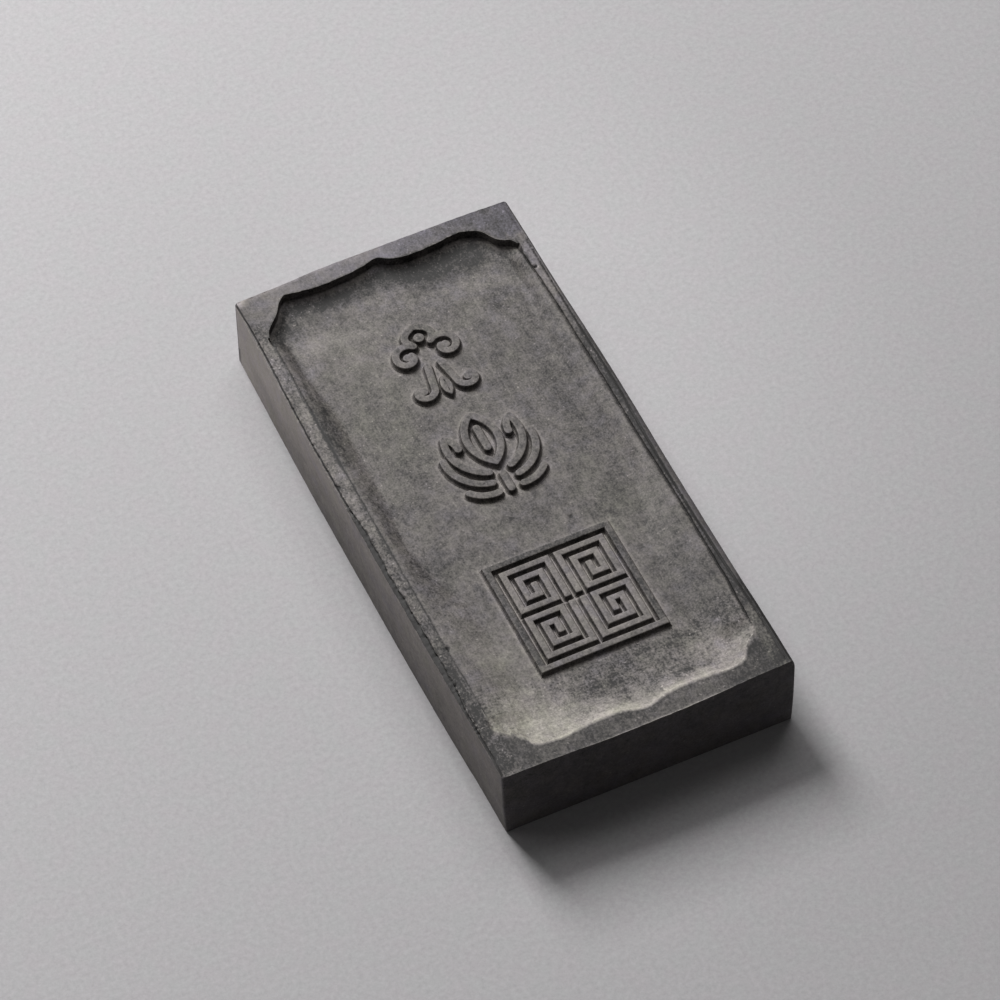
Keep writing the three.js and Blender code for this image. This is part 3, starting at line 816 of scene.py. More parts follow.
def panel_dust_and_light(x, y, inside, from_cut, from_figure):
    """Dust on the panel, and how yellow it is: more round the figures, painted shade in the side
    lines, the left dip and the far cove, and painted light at the near lip and the far wall's foot.
    """
    dust_and_painted_light, tint = near_cove_dust_and_highlight(x, y, from_cut)
    dust_and_painted_light = dust_and_painted_light + far_cove_shade_and_dust(x, y, from_cut)
    # Painted shade in the dip beside the left line, where its slope turns away from the light
    left_dip_shade = (x < 0) * near_to(x + 25.3, 1.4)
    dust_and_painted_light -= 0.06 * left_dip_shade * np.clip((y + 18) / 8, 0, 1)
    between_ends = np.abs(y) < 53
    # Painted shade in the scored side lines
    line = between_ends * near_to(inside - 0.12, 0.15)
    right_line_shade = np.interp(y, [-38, -10, 0, 34, 42], [0.34, 0.3, 0.25, 0.2, 0.1])
    dust_and_painted_light -= line * np.where(x > 0, right_line_shade, 0.27)
    dust_and_painted_light += 0.04 * between_ends * near_to(inside - 0.8, 0.4)
    dust_and_painted_light += 0.16 * near_to(from_figure, 0.35) + 0.06 * near_to(from_figure, 1.3)
    half = SQUARE_SIDE / 2 - SQUARE_BAR
    off_centre = np.maximum(np.abs(x - SQUARE_CENTRE[0]), np.abs(y - SQUARE_CENTRE[1]))
    dust_and_painted_light += 0.1 * np.clip((half - off_centre) / 0.5, 0, 1)
    return dust_and_painted_light, tint


# Dust along the rims, from one end of each to the other
LEFT_RIM_DUST = (
    (-60, -0.13), (-54, -0.15), (-46, -0.15), (-38, -0.19), (-30, -0.1), (-22, -0.09),
    (-14, -0.07), (-6, 0.05), (2, -0.02), (18, 0.1), (26, 0.02), (34, 0.03), (50, 0.06),
    (57, -0.03),
)
RIGHT_RIM_DUST = (
    (-62, -0.02), (-58, -0.07), (-48, -0.12), (-38, -0.19), (-30, -0.17), (-22, -0.08),
    (-14, -0.14), (-6, -0.18), (2, -0.23), (10, -0.2), (18, -0.09), (26, -0.14), (34, 0.04),
    (42, 0.18), (50, 0.03), (57, 0.06),
)
FAR_RIM_DUST = (
    (-29, 0.02), (-26, 0.08), (-22, 0.14), (-18, 0.04), (-12, 0.08), (-6, 0.12), (0, 0.12),
    (6, 0), (12, 0.02), (18, -0.05), (22, -0.02), (26, -0.1), (29, -0.04),
)
# Wear along the near top edge, painted partly as a highlight, from left to right
NEAR_EDGE_WEAR_AND_HIGHLIGHT = (
    (-29, 0.05), (-18, 0.05), (-12, 0.3), (-6, 0.7), (8, 0.8), (14, 0.6), (17, 0.05), (29, 0.05),
)


def rim_dust_and_light(x, y, from_edge, from_end):
    """Dust on the rim, and how yellow or purple it is, with painted shade in the right crease and
    painted highlights along the far edge and corner.
    """
    right_rim, left_rim = x > SIDE_RIM, x < -SIDE_RIM
    far_rim, near_rim = y > END_RIM, y < -END_RIM
    on_end = far_rim | near_rim
    dust_and_painted_light = ~on_end * left_rim * straight_cut(LEFT_RIM_DUST, y)
    dust_and_painted_light += ~on_end * right_rim * straight_cut(RIGHT_RIM_DUST, y)
    dust_and_painted_light += near_rim * np.interp(x, [-28, -20, 17, 22], [-0.11, -0.09, -0.08, -0.17])
    dust_and_painted_light += far_rim * straight_cut(FAR_RIM_DUST, x)
    # Painted shade in the crease along the right rim
    crease = right_rim * near_to(from_edge - CREASE_IN, 0.24) * (np.abs(y + 4) < 58)
    dust_and_painted_light -= 0.3 * crease
    tint = -0.8 * far_rim * np.clip(0.7 + x / 60, 0, 1)
    tint -= 0.3 * right_rim * (y > -COVE_ZONE)
    tint += 0.5 * right_rim * (y < -48)
    flecks = 0.5 + 0.5 * wobble(x + y, 0.8, 9)
    worn = np.exp(-from_edge / 0.14)
    along_left = np.interp(y, [-48, -42, 40, 54, 60], [0.35, 0.1, 0.1, 0.5, 0.9])
    worn_amount = left_rim * along_left * flecks**1.5
    worn_amount = np.where(on_end, 0, worn_amount)
    dust_and_painted_light += worn * worn_amount
    # Wear along the near top edge, painted partly as a highlight
    dust_and_painted_light += near_rim * np.exp(-from_end / 0.12) * straight_cut(NEAR_EDGE_WEAR_AND_HIGHLIGHT, x) * flecks**0.5
    # Painted highlight along the far top edge, whose rounding faces the light
    far_edge_highlight = np.interp(x, [-31, -18, -4, 12, 25], [0.5, 0.4, 0.3, 0.2, 0.05])
    dust_and_painted_light += far_rim * far_edge_highlight * near_to(from_end, 0.3)
    # A pale worn far-left corner, painted partly as a highlight
    corner = np.exp(-(((x + 30.2) / 1.2) ** 2) - ((y - 63.5) / 0.9) ** 2)
    return dust_and_painted_light + 1.4 * corner * (0.6 + 0.4 * wobble(3 * x - y, 0.8, 9)), tint


def chipping(x, y, left):
    """How much the block's edges chip: the left one by an amount, and the others hardly."""
    return np.where((x > SIDE_EDGE) | (np.abs(y) > END_EDGE), HARDLY_CHIPPED, left)


def top_marks(x, y, inside, from_cut, from_edge, from_end, from_figure):
    """What the material and the finishing need to know about each point of the top."""
    in_panel = inside >= 0
    dust_and_painted_light, tint = patches(x, y)
    dust_and_painted_light += scratches(x, y)
    here_dust_and_light, here_tint = panel_dust_and_light(x, y, inside, from_cut, from_figure)
    edge_dust_and_light, edge_tint = rim_dust_and_light(x, y, from_edge, from_end)
    least = np.where(y > COVE_ZONE, FAR_LEAST_DUST_AND_SHADE, LEAST_DUST)
    dust_and_painted_light = np.where(in_panel, np.maximum(dust_and_painted_light + here_dust_and_light, least), edge_dust_and_light)
    tint = np.where(in_panel, tint + here_tint, edge_tint)
    dark_pit = np.minimum(1.5 * pits(x, y), 0.6)
    near_end = np.clip((-42 - y) / 5, 0, 1)
    rim_mottle = np.where(x > SIDE_RIM, 1.2, np.where(x < -SIDE_RIM, 1.5, 0.9))
    rim_mottle = np.where(y > END_RIM, 0.8, rim_mottle)
    left_chips = np.interp(y, [38, 50], [1, 0.5])
    crumbly = ~in_panel & (x < -SIDE_RIM) & (from_edge > 0.1) & (from_edge < 0.5)
    crumbly = crumbly & ((y < -42) | (y > END_RIM))
    by_pit = np.hypot(x - PITS[0][0] - 0.5, y - PITS[0][1] + 1.6) < 1
    return {
        "dust_and_painted_light": dust_and_painted_light - dark_pit,
        "tint": tint,
        "mottle": np.where(in_panel, 1 + 0.6 * near_end, rim_mottle),
        "crosswise": in_panel * near_end,
        "edge": ~in_panel * near_to(from_edge, 0.3) * chipping(x, y, left_chips),
        "wavy": np.clip(from_edge / 0.6, 0, 1),
        "crumbly": 1.0 * (crumbly | by_pit),
    }


def rounded_corners(x, y, edge_x, edge_y):
    """Rounds the grid's four corners in plan."""
    u = (np.abs(x) - edge_x + CORNER_RADIUS) / CORNER_RADIUS
    v = (np.abs(y) - edge_y + CORNER_RADIUS) / CORNER_RADIUS
    corner = (u > 0) & (v > 0)
    u1 = np.where(corner, u * np.sqrt(np.maximum(1 - v**2 / 2, 0)), u)
    v1 = np.where(corner, v * np.sqrt(np.maximum(1 - u**2 / 2, 0)), v)
    x1 = np.sign(x) * (edge_x - CORNER_RADIUS + CORNER_RADIUS * u1)
    y1 = np.sign(y) * (edge_y - CORNER_RADIUS + CORNER_RADIUS * v1)
    return np.where(corner, x1, x), np.where(corner, y1, y)


def wall_rings(edge):
    """The walls as rings of points from just below the top's edge to the foot."""
    depths = [0.015, 0.06, 0.16, 0.3, 0.34, 0.38, 0.5, 0.7, 1, 1.4, 1.9, RIGHT_SHOULDER_DROP]
    heights = [BLOCK_HEIGHT - depth for depth in depths]
    heights += list(np.linspace(heights[-1], FOOT_RADIUS, 13)[1:])
    heights += [FOOT_RADIUS * math.cos(k / 3 * TURN / 4) for k in range(1, 4)]
    top_x, top_y, _ = edge.T
    far = top_y > 0
    by_side = np.abs(top_x / 31) ** 12
    broken = np.where(top_x < -25, left_ledge(top_y), 0)
    rings = []
    for z in heights:
        z = max(z, 0)
        steady = min((BLOCK_HEIGHT - z) / STEADY_DEPTH, 1)
        right = right_wall(top_y, z) / right_wall(top_y, BLOCK_HEIGHT)
        left = left_wall(top_y, z) / left_wall(top_y, BLOCK_HEIGHT)
        x = top_x * np.where(top_x > 0, right, left)
        x = x - np.sign(x) * steady * side_flutter(x, top_y) * by_side
        x = x - broken * np.interp(BLOCK_HEIGHT - z, LEDGE_DROP, (0, 1))
        top_end = end_wall(top_x, BLOCK_HEIGHT, far) + end_flutter(top_x) * steady
        y = top_y * end_wall(top_x, z, far) / top_end
        rings.append(np.column_stack([x, y, np.full(len(edge), z)]))
    return rings


# Dust on the left wall, with painted light and shade, and on the right shoulder from their near
# ends to the far ones, and painted light on the end walls from the foot up
LEFT_WALL_DUST_AND_LIGHT = ((-60, 0.14), (-30, 0.23), (0, 0.3), (20, 0.43), (45, 0.56), (60, 0.54))
RIGHT_SHOULDER_DUST = (
    (-54, -0.3), (-46, -0.25), (-41, -0.1), (-38, 0), (-30, -0.04), (-6, -0.04), (20, -0.12),
    (34, -0.06),
)
# Painted light on the end walls, lighter at the foot, where the floor before them is in shadow
END_WALL_PAINTED_LIGHT = ((0, 0.05), (2, 0.03), (6, -0.03), (12, -0.08), (18, -0.09))


def wall_marks(ring):
    """The marks of a ring of the walls: wiped, dustier at the left, with painted light and shade.
    """
    x, y, z = ring.T
    on_side = np.abs(y) < SIDE_WALL_REACH
    on_left, on_right = on_side & (x < -SIDE_EDGE), on_side & (x > SIDE_EDGE)
    below = BLOCK_HEIGHT - z
    # Painted shade darkens the left wall towards its foot, and painted light brightens it towards
    # its top and far end, over its dust
    middle = np.interp(y, [-20, 15, 50], [0.6, 0.45, 1])
    upper = np.where(z > 10, middle + (1 - middle) * (z - 10) / 6, middle * z / 10).clip(0, 1)
    lower = np.maximum(upper, np.interp(y, [-30, 10, 45, 60], [0.05, 0.1, 0.5, 1]))
    upper = np.where(z > 10, upper, lower)
    left_dust_and_light = straight_cut(LEFT_WALL_DUST_AND_LIGHT, y) * upper
    # End walls: painted light, lighter at the foot
    dust_and_painted_light = np.where(on_left, left_dust_and_light, straight_cut(END_WALL_PAINTED_LIGHT, z))
    shoulder = np.interp(below, [1.5, 4.5], [1, 0])
    right_dust = shoulder * straight_cut(RIGHT_SHOULDER_DUST, y) - 0.05 * (1 - shoulder)
    dust_and_painted_light = np.where(on_right, right_dust, dust_and_painted_light)
    # Painted shade in the groove under the left top edge, with some dust on the ledge further along
    ledge_shade_and_dust = np.interp(y, [2, 12], [-0.26, 0.1]) * np.interp(below, [0.3, 0.34], [0.3, 1])
    ledge_shade_and_dust = np.where((below < 0.33) | (y < 2), -0.26, ledge_shade_and_dust)
    dust_and_painted_light = np.where(on_left & (below < 0.45), ledge_shade_and_dust, dust_and_painted_light)
    # The same worn near top edge on the wall, painted partly as a highlight
    worn = np.exp(-below / 0.1) * (y < -63)
    dust_and_painted_light = dust_and_painted_light + 0.3 * worn * straight_cut(NEAR_EDGE_WEAR_AND_HIGHLIGHT, x)
    return {
        "dust_and_painted_light": dust_and_painted_light,
        "tint": np.where(on_left, 0.05, -0.35),
        "mottle": np.where(on_left, 0.65, 0.45),
        "crosswise": 0 * x,
        "edge": near_to(below, 0.35) * chipping(x, y, 1),
        "wavy": np.clip(below / 0.8, 0, 1) * (z > 0.1),
        "crumbly": 0 * x,
    }


def block_mesh(from_figures):
    """The block as one closed skin: the top grid, the rings of the walls, and the foot."""
    top, top_values = top_grid(from_figures)
    rows, columns = top.shape[:2]
    number = np.arange(rows * columns).reshape(rows, columns)
    corners = [number[:-1, :-1], number[:-1, 1:], number[1:, 1:], number[1:, :-1]]
    faces = [np.stack(corners, axis=-1).reshape(-1, 4)]
    last = np.concatenate([number[0, :-1], number[:-1, -1], number[-1, :0:-1], number[:0:-1, 0]])
    points = [top.reshape(-1, 3)]
    marks = [{name: values.ravel() for name, values in top_values.items()}]
    rings = wall_rings(points[0][last])
    rings += [rings[-1] * (share, share, 1) for share in (0.96, 0.6, 0.2)]
    start = rows * columns
    for ring in rings:
        this = np.arange(start, start + len(ring))
        faces.append(np.column_stack([this, np.roll(this, -1), np.roll(last, -1), last]))
        points.append(ring)
        marks.append(wall_marks(ring))
        last = this
        start += len(ring)
    faces = np.concatenate(faces).tolist() + [last[::-1].tolist()]
    joined_marks = {name: np.concatenate([part[name] for part in marks]) for name in marks[0]}
    return np.concatenate(points), faces, joined_marks


def add_marks(made, marks):
    """Stores values on the points of a mesh, for its material."""
    for name, values in marks.items():
        layer = made.data.attributes.new(name, "FLOAT", "POINT")
        layer.data.foreach_set("value", np.asarray(values, np.float32))


def joined(parts):
    """Several point lists and face lists as one."""
    points, faces = [], []
    for part_points, part_faces in parts:
        start = sum(len(p) for p in points)
        points.append(part_points)
        faces += [tuple(start + int(i) for i in face) for face in part_faces]
    return np.concatenate(points), faces


def distance_from(points):
    """A function that gives how far places on the top are from the nearest of some points."""
    found = KDTree(len(points))
    for number, (x, y, _) in enumerate(points):
        found.insert((x, y, 0), number)
    found.balance()

    def distance(x, y):
        away = [found.find((px, py, 0))[2] for px, py in zip(x.ravel(), y.ravel())]
        return np.array(away).reshape(x.shape)

    return distance


# Geometry Nodes
def new_tree(name, **labels):
    """An empty tree that takes geometry, values of each kind and a material, and its inputs."""
    tree = bpy.data.node_groups.new(name, "GeometryNodeTree")
    tree.is_modifier = True
    labels = {"Geometry": ["Geometry"]} | labels | {"Material": ["Material"]}
    for kind, names in labels.items():
        for label in names:
            tree.interface.new_socket(label, in_out="INPUT", socket_type="NodeSocket" + kind)
    tree.interface.new_socket("Geometry", in_out="OUTPUT", socket_type="NodeSocketGeometry")
    return tree, tree.nodes.new("NodeGroupInput").outputs


def finish_tree(tree, geometry, material):
    """Ends a tree: what it made becomes plain geometry with its material."""
    plain = add(tree, "GeometryNodeRealizeInstances", {"Geometry": geometry})
    shown = add(tree, "GeometryNodeSetMaterial", {"Geometry": plain, "Material": material})
    add(tree, "NodeGroupOutput", {"Geometry": shown})


def run_tree(piece, tree, values):
    """Runs a tree on a piece, with its inputs by name, and keeps the result as a plain mesh."""
    modifier = piece.modifiers.new(tree.name, "NODES")
    modifier.node_group = tree
    for item in tree.interface.items_tree:
        if item.in_out == "INPUT" and item.name in values:
            modifier[item.identifier] = values[item.name]
    scene_now = bpy.context.evaluated_depsgraph_get()
    mesh = bpy.data.meshes.new_from_object(
        piece.evaluated_get(scene_now), preserve_all_data_layers=True, depsgraph=scene_now
    )
    piece.modifiers.remove(modifier)
    piece.data = mesh


def mark_of(tree, name, kind="FLOAT"):
    """A mark that the mesh carries."""
    return add(tree, "GeometryNodeInputNamedAttribute", {"Name": name}, data_type=kind)


def with_mark(tree, geometry, name, value, kind="FLOAT", domain="POINT"):
    """The same geometry with one more mark."""
    inputs = {"Geometry": geometry, "Name": name, "Value": value}
    return add(tree, "GeometryNodeStoreNamedAttribute", inputs, data_type=kind, domain=domain)


def random_value(tree, seed, kind, **inputs):
    """A random value for each point or copy."""
    return add(tree, "FunctionNodeRandomValue", {"Seed": seed} | inputs, data_type=kind)


def mirrored_copies_tree():
    """Copies of a figure about a centre: a left and a right one, or one in each quarter."""
    tree, given = new_tree("mirrored_copies", Vector=["Centre"], Int=["Copies"])
    line = {"Count": given["Copies"], "Start Location": given["Centre"], "Offset": (0, 0, 0)}
    places = add(tree, "GeometryNodeMeshLine", line)
    number = add(tree, "GeometryNodeInputIndex")
    left = calc(tree, "MODULO", number, 2)
    below = calc(tree, "FLOOR", calc(tree, "MULTIPLY", number, 0.5))
    flips = [calc(tree, "MULTIPLY_ADD", side, -2, 1) for side in (left, below)]
    scale = add(tree, "ShaderNodeCombineXYZ", {"X": flips[0], "Y": flips[1], "Z": 1})
    set_out = {"Points": places, "Instance": given["Geometry"], "Scale": scale}
    copies = add(tree, "GeometryNodeInstanceOnPoints", set_out)
    handed = calc(tree, "MULTIPLY", *flips)
    turned = add(tree, "FunctionNodeCompare", {0: handed, 1: 0}, operation="LESS_THAN")
    marked = with_mark(tree, copies, "turned", turned, "BOOLEAN", "INSTANCE")
    plain = add(tree, "GeometryNodeRealizeInstances", {"Geometry": marked})
    turned = mark_of(tree, "turned", "BOOLEAN")
    righted = add(tree, "GeometryNodeFlipFaces", {"Mesh": plain, "Selection": turned})
    finish_tree(tree, righted, given["Material"])
    return tree


def waves_and_chips(tree, given):
    """How far each point goes outwards: with the slow waves, and back where its edge is chipped."""
    place = add(tree, "GeometryNodeInputPosition")
    moves = []
    for size, mark, amount, *limits in (
        ("Wave Size", "wavy", "Waviness", 0, 1, -1, 1),
        ("Chip Size", "edge", "Chip Depth", *CHIP_RANGE),
    ):
        scale = calc(tree, "DIVIDE", 1, given[size])
        spots = add(tree, "ShaderNodeTexNoise", {"Vector": place, "Scale": scale, "Detail": 1.5})
        here = calc(tree, "MULTIPLY", spread(tree, spots, *limits), mark_of(tree, mark))
        moves.append(calc(tree, "MULTIPLY", here, given[amount]))
    return calc(tree, "SUBTRACT", *moves)


def crumbs_on(tree, given, surface):
    """Crumbs on some of a surface's crumbly points, each turned and flattened in its own way."""
    chance = calc(tree, "MULTIPLY", mark_of(tree, "crumbly"), given["Crumb Share"])
    picked = random_value(tree, given["Seed"], "BOOLEAN", Probability=chance)
    spots = add(tree, "GeometryNodeMeshToPoints", {"Mesh": surface, "Selection": picked})
    ball = {"Radius": given["Crumb Size"], "Subdivisions": 1}
    crumb = add(tree, "GeometryNodeMeshIcoSphere", ball)
    for name, value in CRUMB_MARKS:
        crumb = with_mark(tree, crumb, name, value)
    turn, scale = [
        random_value(tree, given["Seed"], "FLOAT_VECTOR", Min=(low,) * 3, Max=(high,) * 3)
        for low, high in ((0, TURN), CRUMB_SHAPE)
    ]
    down = (0, 0, -CRUMB_BED * MM)
    bedded = add(tree, "GeometryNodeSetPosition", {"Geometry": spots, "Offset": down})
    set_out = {"Points": bedded, "Instance": crumb, "Rotation": turn, "Scale": scale}
    return add(tree, "GeometryNodeInstanceOnPoints", set_out)


def hand_finish_tree():
    """A pressed and handled surface: slow waves, chipped edges and crumbs of ink beside them.

    The mesh says by its marks where it is wavy, where its edge can chip, and where it crumbles.
    """
    measures = ["Waviness", "Wave Size", "Chip Depth", "Chip Size", "Crumb Size", "Crumb Share"]
    tree, given = new_tree("hand_finish", Float=measures, Int=["Seed"])
    move = {0: add(tree, "GeometryNodeInputNormal"), "Scale": waves_and_chips(tree, given)}
    offset = add(tree, "ShaderNodeVectorMath", move, operation="SCALE")
    shape = {"Geometry": given["Geometry"], "Offset": offset}
    surface = add(tree, "GeometryNodeSetPosition", shape)
    crumbs = crumbs_on(tree, given, surface)
    both = add(tree, "GeometryNodeJoinGeometry", {"Geometry": surface})
    tree.links.new(crumbs.outputs[0], both.inputs["Geometry"])
    finish_tree(tree, both, given["Material"])
    return tree


# Materials
BARE_INK = "#1b1918"
GREY_DUST = "#a8a09c"
YELLOW_DUST = "#a3a091"
PURPLE_DUST = "#a19ba9"
PINK_PAPER = "#a29fa1"
GREY_PAPER = "#a1a0a1"
# Mottling of the dust film: size of its spots across, along and up, and its weight. Its finest
# round spots are the grain of the skin too. Then streaks across the near end, and spots of tint
GRAIN_DEPTH = 0.03
GRAIN_SPOTS = (0.38, 0.42, 0.38)
MOTTLES = (
    ((15, 18, 15), 0.12), ((2.4, 20, 2.4), 0.14), ((4.5, 5.5, 4.5), 0.28), ((1.5, 1.9, 1.5), 0.34),
    ((0.7, 0.85, 0.7), 0.3), (GRAIN_SPOTS, 0.56), ((0.5, 7, 0.5), 0.16),
)
CROSS_STREAKS = ((5, 0.5, 5), 0.35)
TINT_SPOTS = ((3, 1.5), (9, 1.2))
# Between which values of the dust and painted light the film goes from none to a full cover
FILM_RANGE = (-0.2, 0.79)
# Pale crumbs in the dust: their size, and between which values of the noise they set in
SPECK_SIZE = 0.5
SPECK_RANGE = (0.77, 0.86)
SPECK_DUST = 0.3
# Paper: size of its tooth and of its clouds, the painted light that makes it paler to the far
# left, and the painted pool of light at the right of the cake
TOOTH_SIZE = 1.1
TOOTH_DEPTH = 0.1
TOOTH_RANGE = (0.885, 1.115)
CLOUD_SIZE = 5
PAINTED_LIGHT_PER_METRE = (-0.75, 0.3, 0)
PALENESS = 1.015
GLOW_SHIFT = (-38, -15, 0)
GLOW_STRETCH = (1, 0.6, 1)
GLOW_REACH = 75
GLOW = 0.16


def new_material(name):
    """An empty material, its tree, and the places on the object."""
    material = bpy.data.materials.new(name)
    material.use_nodes = True
    tree = material.node_tree
    tree.nodes.clear()
    return material, tree, add(tree, "ShaderNodeTexCoord").outputs["Object"]


def finish_material(tree, colour, relief, strength, depth, **inputs):
    """Ends a material: a plain surface of a colour, with a fine relief of some strength."""
    bump = {"Height": relief, "Strength": strength, "Distance": depth * MM}
    normal = add(tree, "ShaderNodeBump", bump)
    inputs = {"Base Color": colour, "Normal": normal} | inputs
    shader = add(tree, "ShaderNodeBsdfPrincipled", inputs)
    add(tree, "ShaderNodeOutputMaterial", {"Surface": shader})


def pressed_ink_material():
    """Pressed soot ink: lampblack and glue, moulded, dried and wiped.

    By itself it is black and matt. What the eye sees is a film of grey, slightly warm dust,
    wiped along the length, thicker in some places than in others, over a fine-grained skin. The
    same film is thinned to paint shade and thickened to paint light where the marks say so.
    """
    material, tree, place = new_material("pressed_soot_ink")
    dust_and_painted_light, tint, mottle, crosswise = [
        add(tree, "ShaderNodeAttribute", attribute_name=name).outputs["Fac"]
        for name in ("dust_and_painted_light", "tint", "mottle", "crosswise")
    ]

    def spots(size, weight, strength, start):
        """Adds soft spots, darker and lighter, to a value, and gives their noise too."""
        scale = tuple(1 / (MM * s) for s in size)
        stretched = add(tree, "ShaderNodeMapping", {"Vector": place, "Scale": scale})
        here = noise(tree, stretched, 1, 2, Roughness=0.6)
        weighted = spread(tree, here, 0, 1, -weight / 2, weight / 2)
        return calc(tree, "MULTIPLY_ADD", weighted, strength, start), here

    film = dust_and_painted_light
    for size, weight in MOTTLES:
        film, here = spots(size, weight, mottle, film)
        if size == GRAIN_SPOTS:
            grain = here
    film, _ = spots(*CROSS_STREAKS, crosswise, film)
    speck = spread(tree, noise(tree, place, SPECK_SIZE * MM, 0), *SPECK_RANGE, 0, SPECK_DUST)
    film = calc(tree, "MULTIPLY_ADD", speck, mottle, film)
    for size, weight in TINT_SPOTS:
        tint, _ = spots((size,) * 3, weight, 1, tint)
    yellow, purple = [spread(tree, tint, 0, end) for end in (1, -1)]
    warm_dust = mixed(tree, yellow, linear(GREY_DUST), linear(YELLOW_DUST))
    any_dust = mixed(tree, purple, warm_dust, linear(PURPLE_DUST))
    colour = mixed(tree, spread(tree, film, *FILM_RANGE), linear(BARE_INK), any_dust)
    finish_material(tree, colour, grain, 1, GRAIN_DEPTH, Roughness=0.7, IOR=1.45)
    return material


def paper_material():
    """Thick drawing paper, pale grey, with a tooth of fibres about a millimetre across and finer.

    Painted light makes it a little paler towards the far left and in a soft pool at the right of
    the cake, and its grey leans to pink in clouds.
    """
    material, tree, place = new_material("drawing_paper")
    tooth = noise(tree, place, TOOTH_SIZE * MM, 4, Roughness=0.85)
    cloud = spread(tree, noise(tree, place, CLOUD_SIZE * MM, 2), 0.35, 0.65)
    hue = mixed(tree, cloud, linear(PINK_PAPER), linear(GREY_PAPER))
    # Painted light: lighter to the far left, and a soft pool of light at the right of the cake
    sides = {0: place, 1: PAINTED_LIGHT_PER_METRE}
    slope = add(tree, "ShaderNodeVectorMath", sides, operation="DOT_PRODUCT")
    shift = tuple(length * MM for length in GLOW_SHIFT)
    stretch = {"Vector": place, "Location": shift, "Scale": GLOW_STRETCH}
    from_spot = add(tree, "ShaderNodeMapping", stretch)
    away = add(tree, "ShaderNodeVectorMath", {0: from_spot}, operation="LENGTH")
    glow = spread(tree, away, 0, GLOW_REACH * MM, GLOW, 0, interpolation_type="SMOOTHSTEP")
    paleness_and_painted_light = calc(tree, "ADD", calc(tree, "ADD", slope, PALENESS), glow)
    strength = calc(tree, "MULTIPLY", paleness_and_painted_light, spread(tree, tooth, 0.3, 0.7, *TOOTH_RANGE))
    colour = add(tree, "ShaderNodeVectorMath", {0: hue, "Scale": strength}, operation="SCALE")
    finish_material(tree, colour, tooth, 0.35, TOOTH_DEPTH, Roughness=0.9)
    return material


# Studio
def make_camera():
    data = bpy.data.cameras.new("camera")
    data.lens = CAMERA_LENS
    data.sensor_width = 36
    data.clip_end = 100
    camera = bpy.data.objects.new("camera", data)
    bpy.context.scene.collection.objects.link(camera)
    place, aim = Vector(CAMERA_PLACE) * MM, Vector(CAMERA_AIM) * MM
    camera.location = place
    camera.rotation_mode = "QUATERNION"
    roll = Quaternion((0, 0, 1), math.radians(CAMERA_ROLL))
    camera.rotation_quaternion = (aim - place).to_track_quat("-Z", "Y") @ roll
    bpy.context.scene.camera = camera


def make_lamp(name, turn, height, distance, width, length, power):
    """A rectangular lamp that faces the cake."""
    data = bpy.data.lights.new(name, "AREA")
    data.shape = "RECTANGLE"
    data.size, data.size_y = width * MM, length * MM
    data.energy = power
    lamp = bpy.data.objects.new(name, data)
    bpy.context.scene.collection.objects.link(lamp)
    turn, height = math.radians(turn), math.radians(height)
    level = math.cos(height)
    towards = Vector((math.sin(turn) * level, math.cos(turn) * level, math.sin(height)))
    lamp.location = towards * distance * MM
    lamp.rotation_mode = "QUATERNION"
    lamp.rotation_quaternion = (-towards).to_track_quat("-Z", "Y")


def make_room():
    world = bpy.data.worlds.new("dim_room")
    bpy.context.scene.world = world
    world.use_nodes = True
    tree = world.node_tree
    tree.nodes.clear()
    sky = add(tree, "ShaderNodeBackground", {"Color": linear("#ffffff"), "Strength": ROOM_LIGHT})
    add(tree, "ShaderNodeOutputWorld", {"Surface": sky.outputs["Background"]})


def make_floor():
    half = 2500
    points = [(-half, -half, 0), (half, -half, 0), (half, half, 0), (-half, half, 0)]
    floor = mesh_object("paper_floor", points, [(0, 1, 2, 3)])
    floor.data.materials.append(paper_material())


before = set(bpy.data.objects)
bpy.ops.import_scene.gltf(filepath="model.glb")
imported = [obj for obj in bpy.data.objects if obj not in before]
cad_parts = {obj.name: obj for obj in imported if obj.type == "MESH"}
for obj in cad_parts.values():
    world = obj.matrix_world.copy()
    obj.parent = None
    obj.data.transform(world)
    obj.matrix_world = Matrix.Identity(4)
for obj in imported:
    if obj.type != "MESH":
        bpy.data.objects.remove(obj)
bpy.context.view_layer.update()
bpy.context.scene.view_settings.view_transform = "Standard"

make_camera()
make_lamp("softbox", *SOFTBOX)
make_lamp("ceiling", *CEILING)
make_lamp("left_wall", *LEFT_WALL)
make_room()
make_floor()

ink = pressed_ink_material()
mirrored_copies = mirrored_copies_tree()
hand_finish = hand_finish_tree()

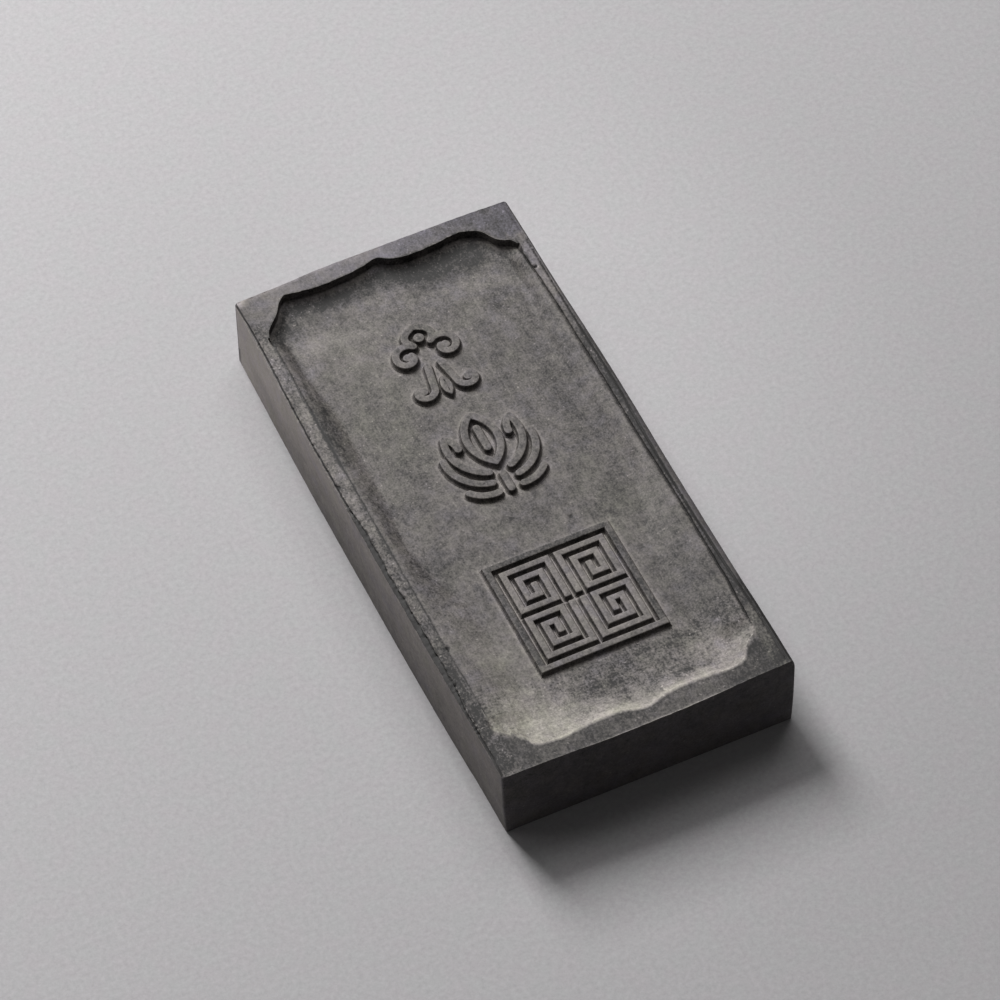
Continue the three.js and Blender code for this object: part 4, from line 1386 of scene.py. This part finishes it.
# Raised figures: where each stands, how many mirrored copies it has, the dust on its top, its
# strokes, and the nodes it stands for
heart = lens_loop(HEART_FOOT, HEART_TIP, HEART_HALF_WIDTH)
drop = lens_loop(DROP_FOOT, DROP_TOP, DROP_HALF_WIDTH)
pearl = circle_loop((0, PEARL_HEIGHT), PEARL_RADIUS)
border = square_loop((SQUARE_SIDE - SQUARE_BAR) / 2)
leaf = arc_between(LEAF_ROOT, LEAF_TIP, LEAF_BULGE)
ripple = arc_between(RIPPLE_START, RIPPLE_END, RIPPLE_BULGE)
leaves = ("lotus_leaf_right", "lotus_leaf_left")
ripples = ("lotus_ripple_right", "lotus_ripple_left")
frets = ("fret_upper_right", "fret_upper_left", "fret_lower_right", "fret_lower_left")
FIGURES = (
    (CLOUD_CENTRE, 1, FIGURE_DUST, cloud_head(), ("cloud_head",)),
    (CLOUD_CENTRE, 1, FIGURE_DUST, [raised_plate(pearl)], ("cloud_pearl",)),
    (CLOUD_CENTRE, 1, FIGURE_DUST, [raised_plate(drop)], ("cloud_drop",)),
    (CLOUD_CENTRE, 2, FIGURE_DUST, cloud_tail(), ("cloud_tail_right", "cloud_tail_left")),
    (LOTUS_CENTRE, 1, FIGURE_DUST, [raised_band(heart, STROKE_WIDTH)], ("lotus_heart",)),
    (LOTUS_CENTRE, 1, FIGURE_DUST, [raised_stroke(VEIN)], ("lotus_vein",)),
    (LOTUS_CENTRE, 2, FIGURE_DUST, lotus_petal(), ("lotus_petal_right", "lotus_petal_left")),
    (LOTUS_CENTRE, 2, FIGURE_DUST, [raised_stroke(leaf)], leaves),
    (LOTUS_CENTRE, 1, FIGURE_DUST, [raised_stroke(STEM)], ("lotus_stem",)),
    (LOTUS_CENTRE, 2, FIGURE_DUST, [raised_stroke(ripple)], ripples),
    (SQUARE_CENTRE, 1, None, [raised_band(border, SQUARE_BAR)], ("square_border",)),
    (SQUARE_CENTRE, 4, FRET_DUST, fret_quarter(), frets),
)
pieces = []
for centre, copies, on_top, strokes, nodes in FIGURES:
    points, faces = joined(strokes)
    points = points + (0, 0, PANEL_FLOOR)
    if copies == 1:
        points = points + (centre[0], centre[1], 0)
    figure = mesh_object("raised_" + nodes[0].removesuffix("_right"), points, faces)
    add_marks(figure, relief_marks(points, border_dust(points) if on_top is None else on_top))
    if copies > 1:
        values = {"Centre": (centre[0] * MM, centre[1] * MM, 0), "Copies": copies}
        run_tree(figure, mirrored_copies, values | {"Material": ink})
    else:
        figure.data.materials.append(ink)
    pieces.append((figure, nodes, "raised_ink"))

placed = np.concatenate(
    [np.array([vertex.co for vertex in figure.data.vertices]) / MM for figure, _, _ in pieces]
)
block_points, block_faces, block_marks = block_mesh(distance_from(placed))
block = mesh_object("pressed_block", block_points, block_faces)
add_marks(block, block_marks)
lengths = {
    "Waviness": WAVINESS, "Wave Size": WAVE_SIZE, "Chip Depth": CHIP_DEPTH,
    "Chip Size": CHIP_SIZE, "Crumb Size": CRUMB_SIZE,
}
values = {name: length * MM for name, length in lengths.items()}
values |= {"Crumb Share": CRUMB_SHARE, "Seed": CRUMB_SEED, "Material": ink}
run_tree(block, hand_finish, values)
pieces.append((block, ("cake_block",), "pressed_ink"))

for piece, nodes, slot in pieces:
    piece.data.set_sharp_from_angle(angle=math.radians(SHARP_ANGLE))
    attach(piece, "root")
    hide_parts(*nodes)
